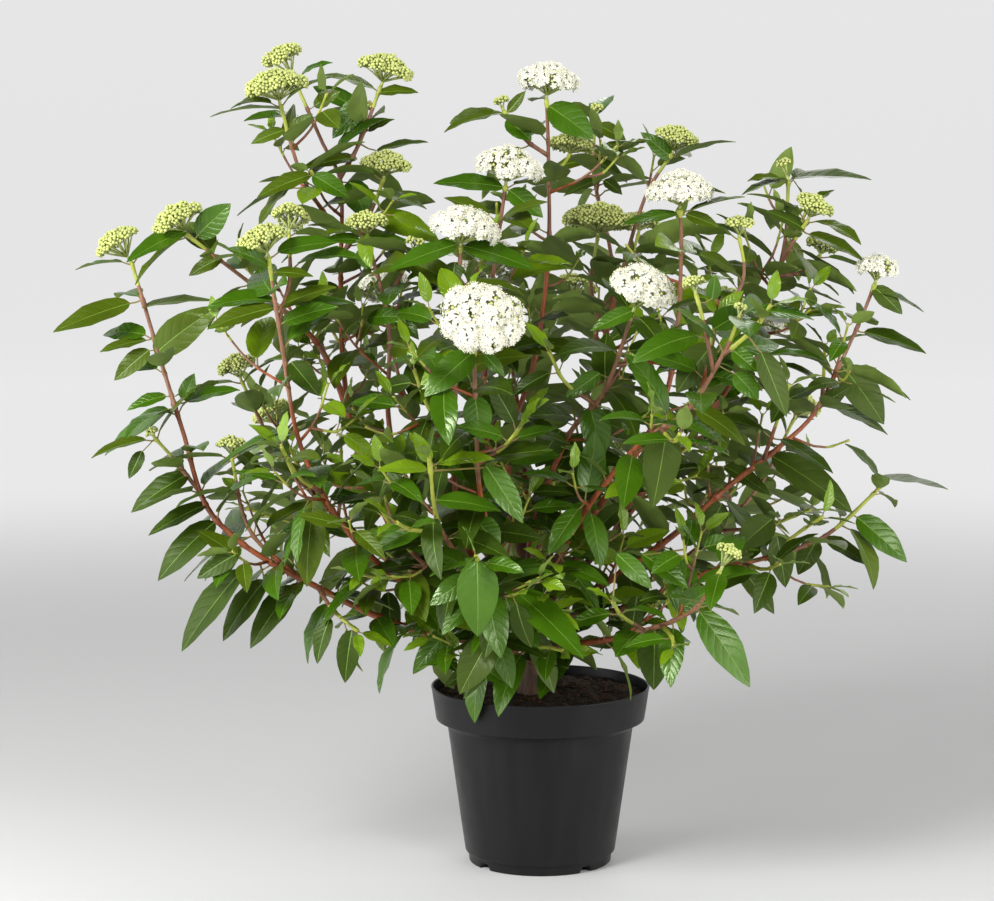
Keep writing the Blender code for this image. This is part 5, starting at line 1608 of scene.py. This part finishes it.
def make_compost():
    """A loose, uneven surface with crumbs and shreds of bark on it."""
    rng = random.Random("compost")
    rings, sides = 46, 150
    rows = [tuple(soil_point(SOIL_RADIUS * ring / rings, turn))
            for ring in range(rings + 1) for turn in turns(sides)]
    rows += turned([(SOIL_RADIUS - 0.006, SOIL_TOP - SOIL_DEPTH)], sides)
    faces = grid_faces(rings + 2, sides, closed=True)
    faces.append(tuple(reversed(range((rings + 1) * sides, (rings + 2) * sides))))
    batch = Batch()
    batch.add(rows, faces, 0)
    for _ in range(CRUMBS):
        reach = (SOIL_RADIUS - 0.004) * math.sqrt(rng.random())
        point = soil_point(reach, rng.uniform(0, 2 * math.pi))
        crumb(batch, point, rng.choice(CRUMB_SIZES), rng)
    looks = [soil_look("compost", (0.010, 0.005, 0.003), (0.040, 0.020, 0.011)),
             soil_look("bark_shreds", (0.030, 0.013, 0.006), (0.095, 0.045, 0.022))]
    finished(batch.build("compost", looks, sharp=35), "compost", "soil")


# ---------------------------------------------------------------- studio

STAGE_RADIUS = 6.0
STAGE_COVE = 1.5
STAGE_HEIGHT = 6.0
STAGE_SIDES = 96
WORLD_COLOUR = (0.9, 0.93, 1.0, 1)
WORLD_STRENGTH = 0.07
LAMPS = (  # name, place, target, size in metres, and power in watts
    ("key", (-1.5, -1.9, 2.1), (0, 0, 0.42), (1.0, 1.0), 76),
    ("fill", (1.3, -2.1, 1.5), (0, 0, 0.42), (0.8, 0.8), 16),
    ("side_left", (-2.1, -0.4, 1.0), (0, 0, 0.35), (0.9, 1.6), 16),
    ("side_right", (2.1, -0.6, 1.0), (0, 0, 0.35), (0.9, 1.6), 10),
    ("low_left", (-1.0, -0.45, 0.22), (0, 0, 0.10), (0.7, 0.36), 3),
    ("low_right", (1.0, -0.60, 0.22), (0, 0, 0.10), (0.7, 0.36), 4),
    ("back", (0.6, 2.2, 2.0), (0, 0, 0.42), (1.6, 1.0), 16),
)


def make_stage():
    """A pale floor that curves up into a wall all round."""
    profile = [(0.0, 0.0), (1.0, 0.0), (3.0, 0.0), (STAGE_RADIUS, 0.0)]
    profile += arc((STAGE_RADIUS, STAGE_COVE), STAGE_COVE, -80, 0, 8)
    profile.append((STAGE_RADIUS + STAGE_COVE, STAGE_HEIGHT))
    batch = Batch()
    batch.add(turned(profile, STAGE_SIDES), grid_faces(len(profile), STAGE_SIDES, closed=True), 0)
    batch.build("studio_floor", [paper_look()])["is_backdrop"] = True


def make_lights():
    for name, place, target, size, power in LAMPS:
        data = bpy.data.lights.new(name, "AREA")
        data.shape = "RECTANGLE"
        data.size, data.size_y = size
        data.energy = power
        lamp = bpy.data.objects.new(name, data)
        bpy.context.scene.collection.objects.link(lamp)
        lamp.location = place
        lamp.rotation_euler = (Vector(target) - Vector(place)).to_track_quat("-Z", "Y").to_euler()
        lamp.visible_camera = False
    world = bpy.data.worlds.new("studio")
    world.use_nodes = True
    background = world.node_tree.nodes["Background"]
    background.inputs["Color"].default_value = WORLD_COLOUR
    background.inputs["Strength"].default_value = WORLD_STRENGTH
    bpy.context.scene.world = world
    bpy.context.scene.view_settings.view_transform = "Standard"


def make_camera():
    data = bpy.data.cameras.new("camera")
    data.lens = CAMERA_LENS
    data.sensor_width = CAMERA_SENSOR
    camera = bpy.data.objects.new("camera", data)
    bpy.context.scene.collection.objects.link(camera)
    camera.location = CAMERA_PLACE
    camera.rotation_euler = (math.pi / 2 - CAMERA_DIP, 0, 0)
    bpy.context.scene.camera = camera


# ---------------------------------------------------------------- all of it

for thing in list(bpy.data.objects):
    bpy.data.objects.remove(thing)
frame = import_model()

make_stage()
make_lights()
make_camera()
make_pot()
make_compost()

plant = Plant(frame["nodes"])
plant.grow()

bark = wood_look("bark_old", (0.120, 0.062, 0.036), (0.055, 0.028, 0.018), 0.72)
woods = [
    wood_look("bark_bough", (0.170, 0.066, 0.030), (0.090, 0.034, 0.018), 0.58),
    wood_look("stem_red", (0.300, 0.074, 0.018), (0.180, 0.042, 0.013), 0.45),
    wood_look("stem_tan", (0.260, 0.118, 0.062), (0.190, 0.070, 0.036), 0.45),
]
stem_green = plain_look("stem_green", (0.340, 0.380, 0.045), 0.45, 0.25, 90.0)
leaf_looks = [
    plain_look("leaf_rib", (0.130, 0.240, 0.025), 0.42, 0.15),
    # The underside is paler than the upper side, as on the real leaf, and lightened further as painted light:
    # it stands in for light shining through the leaf, which the opaque leaves lack
    plain_look("leaf_underside", (0.165, 0.240, 0.045), 0.62, 0.16, 60.0, Specular_IOR_Level=0.3),
    plain_look("leaf_stalk", (0.230, 0.180, 0.050), 0.5, 0.25, 60.0),
]

boughs = [shoot.name + "_bough" for shoot in SHOOTS if shoot.bare]
masses = [shoot.name for shoot in SHOOTS]
finished(plant.trunk.build("trunk_bark", [bark]), "bark", "trunk")
finished(plant.boughs.build("bough_bark", woods), "bark", *boughs)
finished(plant.twigs.build("twigs", woods + [stem_green]), "foliage", *masses)
for spray, batch in plant.leaves.items():
    finished(batch.build(f"leaves_{spray}", [leaf_look(spray), *leaf_looks], sharp=55), "foliage")

floret_looks = [
    plain_look("petals", (0.800, 0.792, 0.700), 0.55, 0.04, 90.0),
    plain_look("flower_throats", (0.62, 0.62, 0.26), 0.6),
    plain_look("anthers", (0.90, 0.86, 0.62), 0.6),
]
bud_looks = [
    plain_look("buds", (0.360, 0.430, 0.075), 0.5, 0.20, 60.0),
    plain_look("bud_tips", (0.560, 0.610, 0.190), 0.5, 0.12, 60.0),
]
ray_look = plain_look("head_rays", (0.400, 0.460, 0.140), 0.5, 0.15)
cymes = plant.cymes
finished(cymes.rays.build("head_rays", [ray_look]), "foliage")
finished(cymes.florets.build("florets", floret_looks, smooth=False), "foliage")
finished(cymes.buds.build("flower_buds", bud_looks), "foliage")
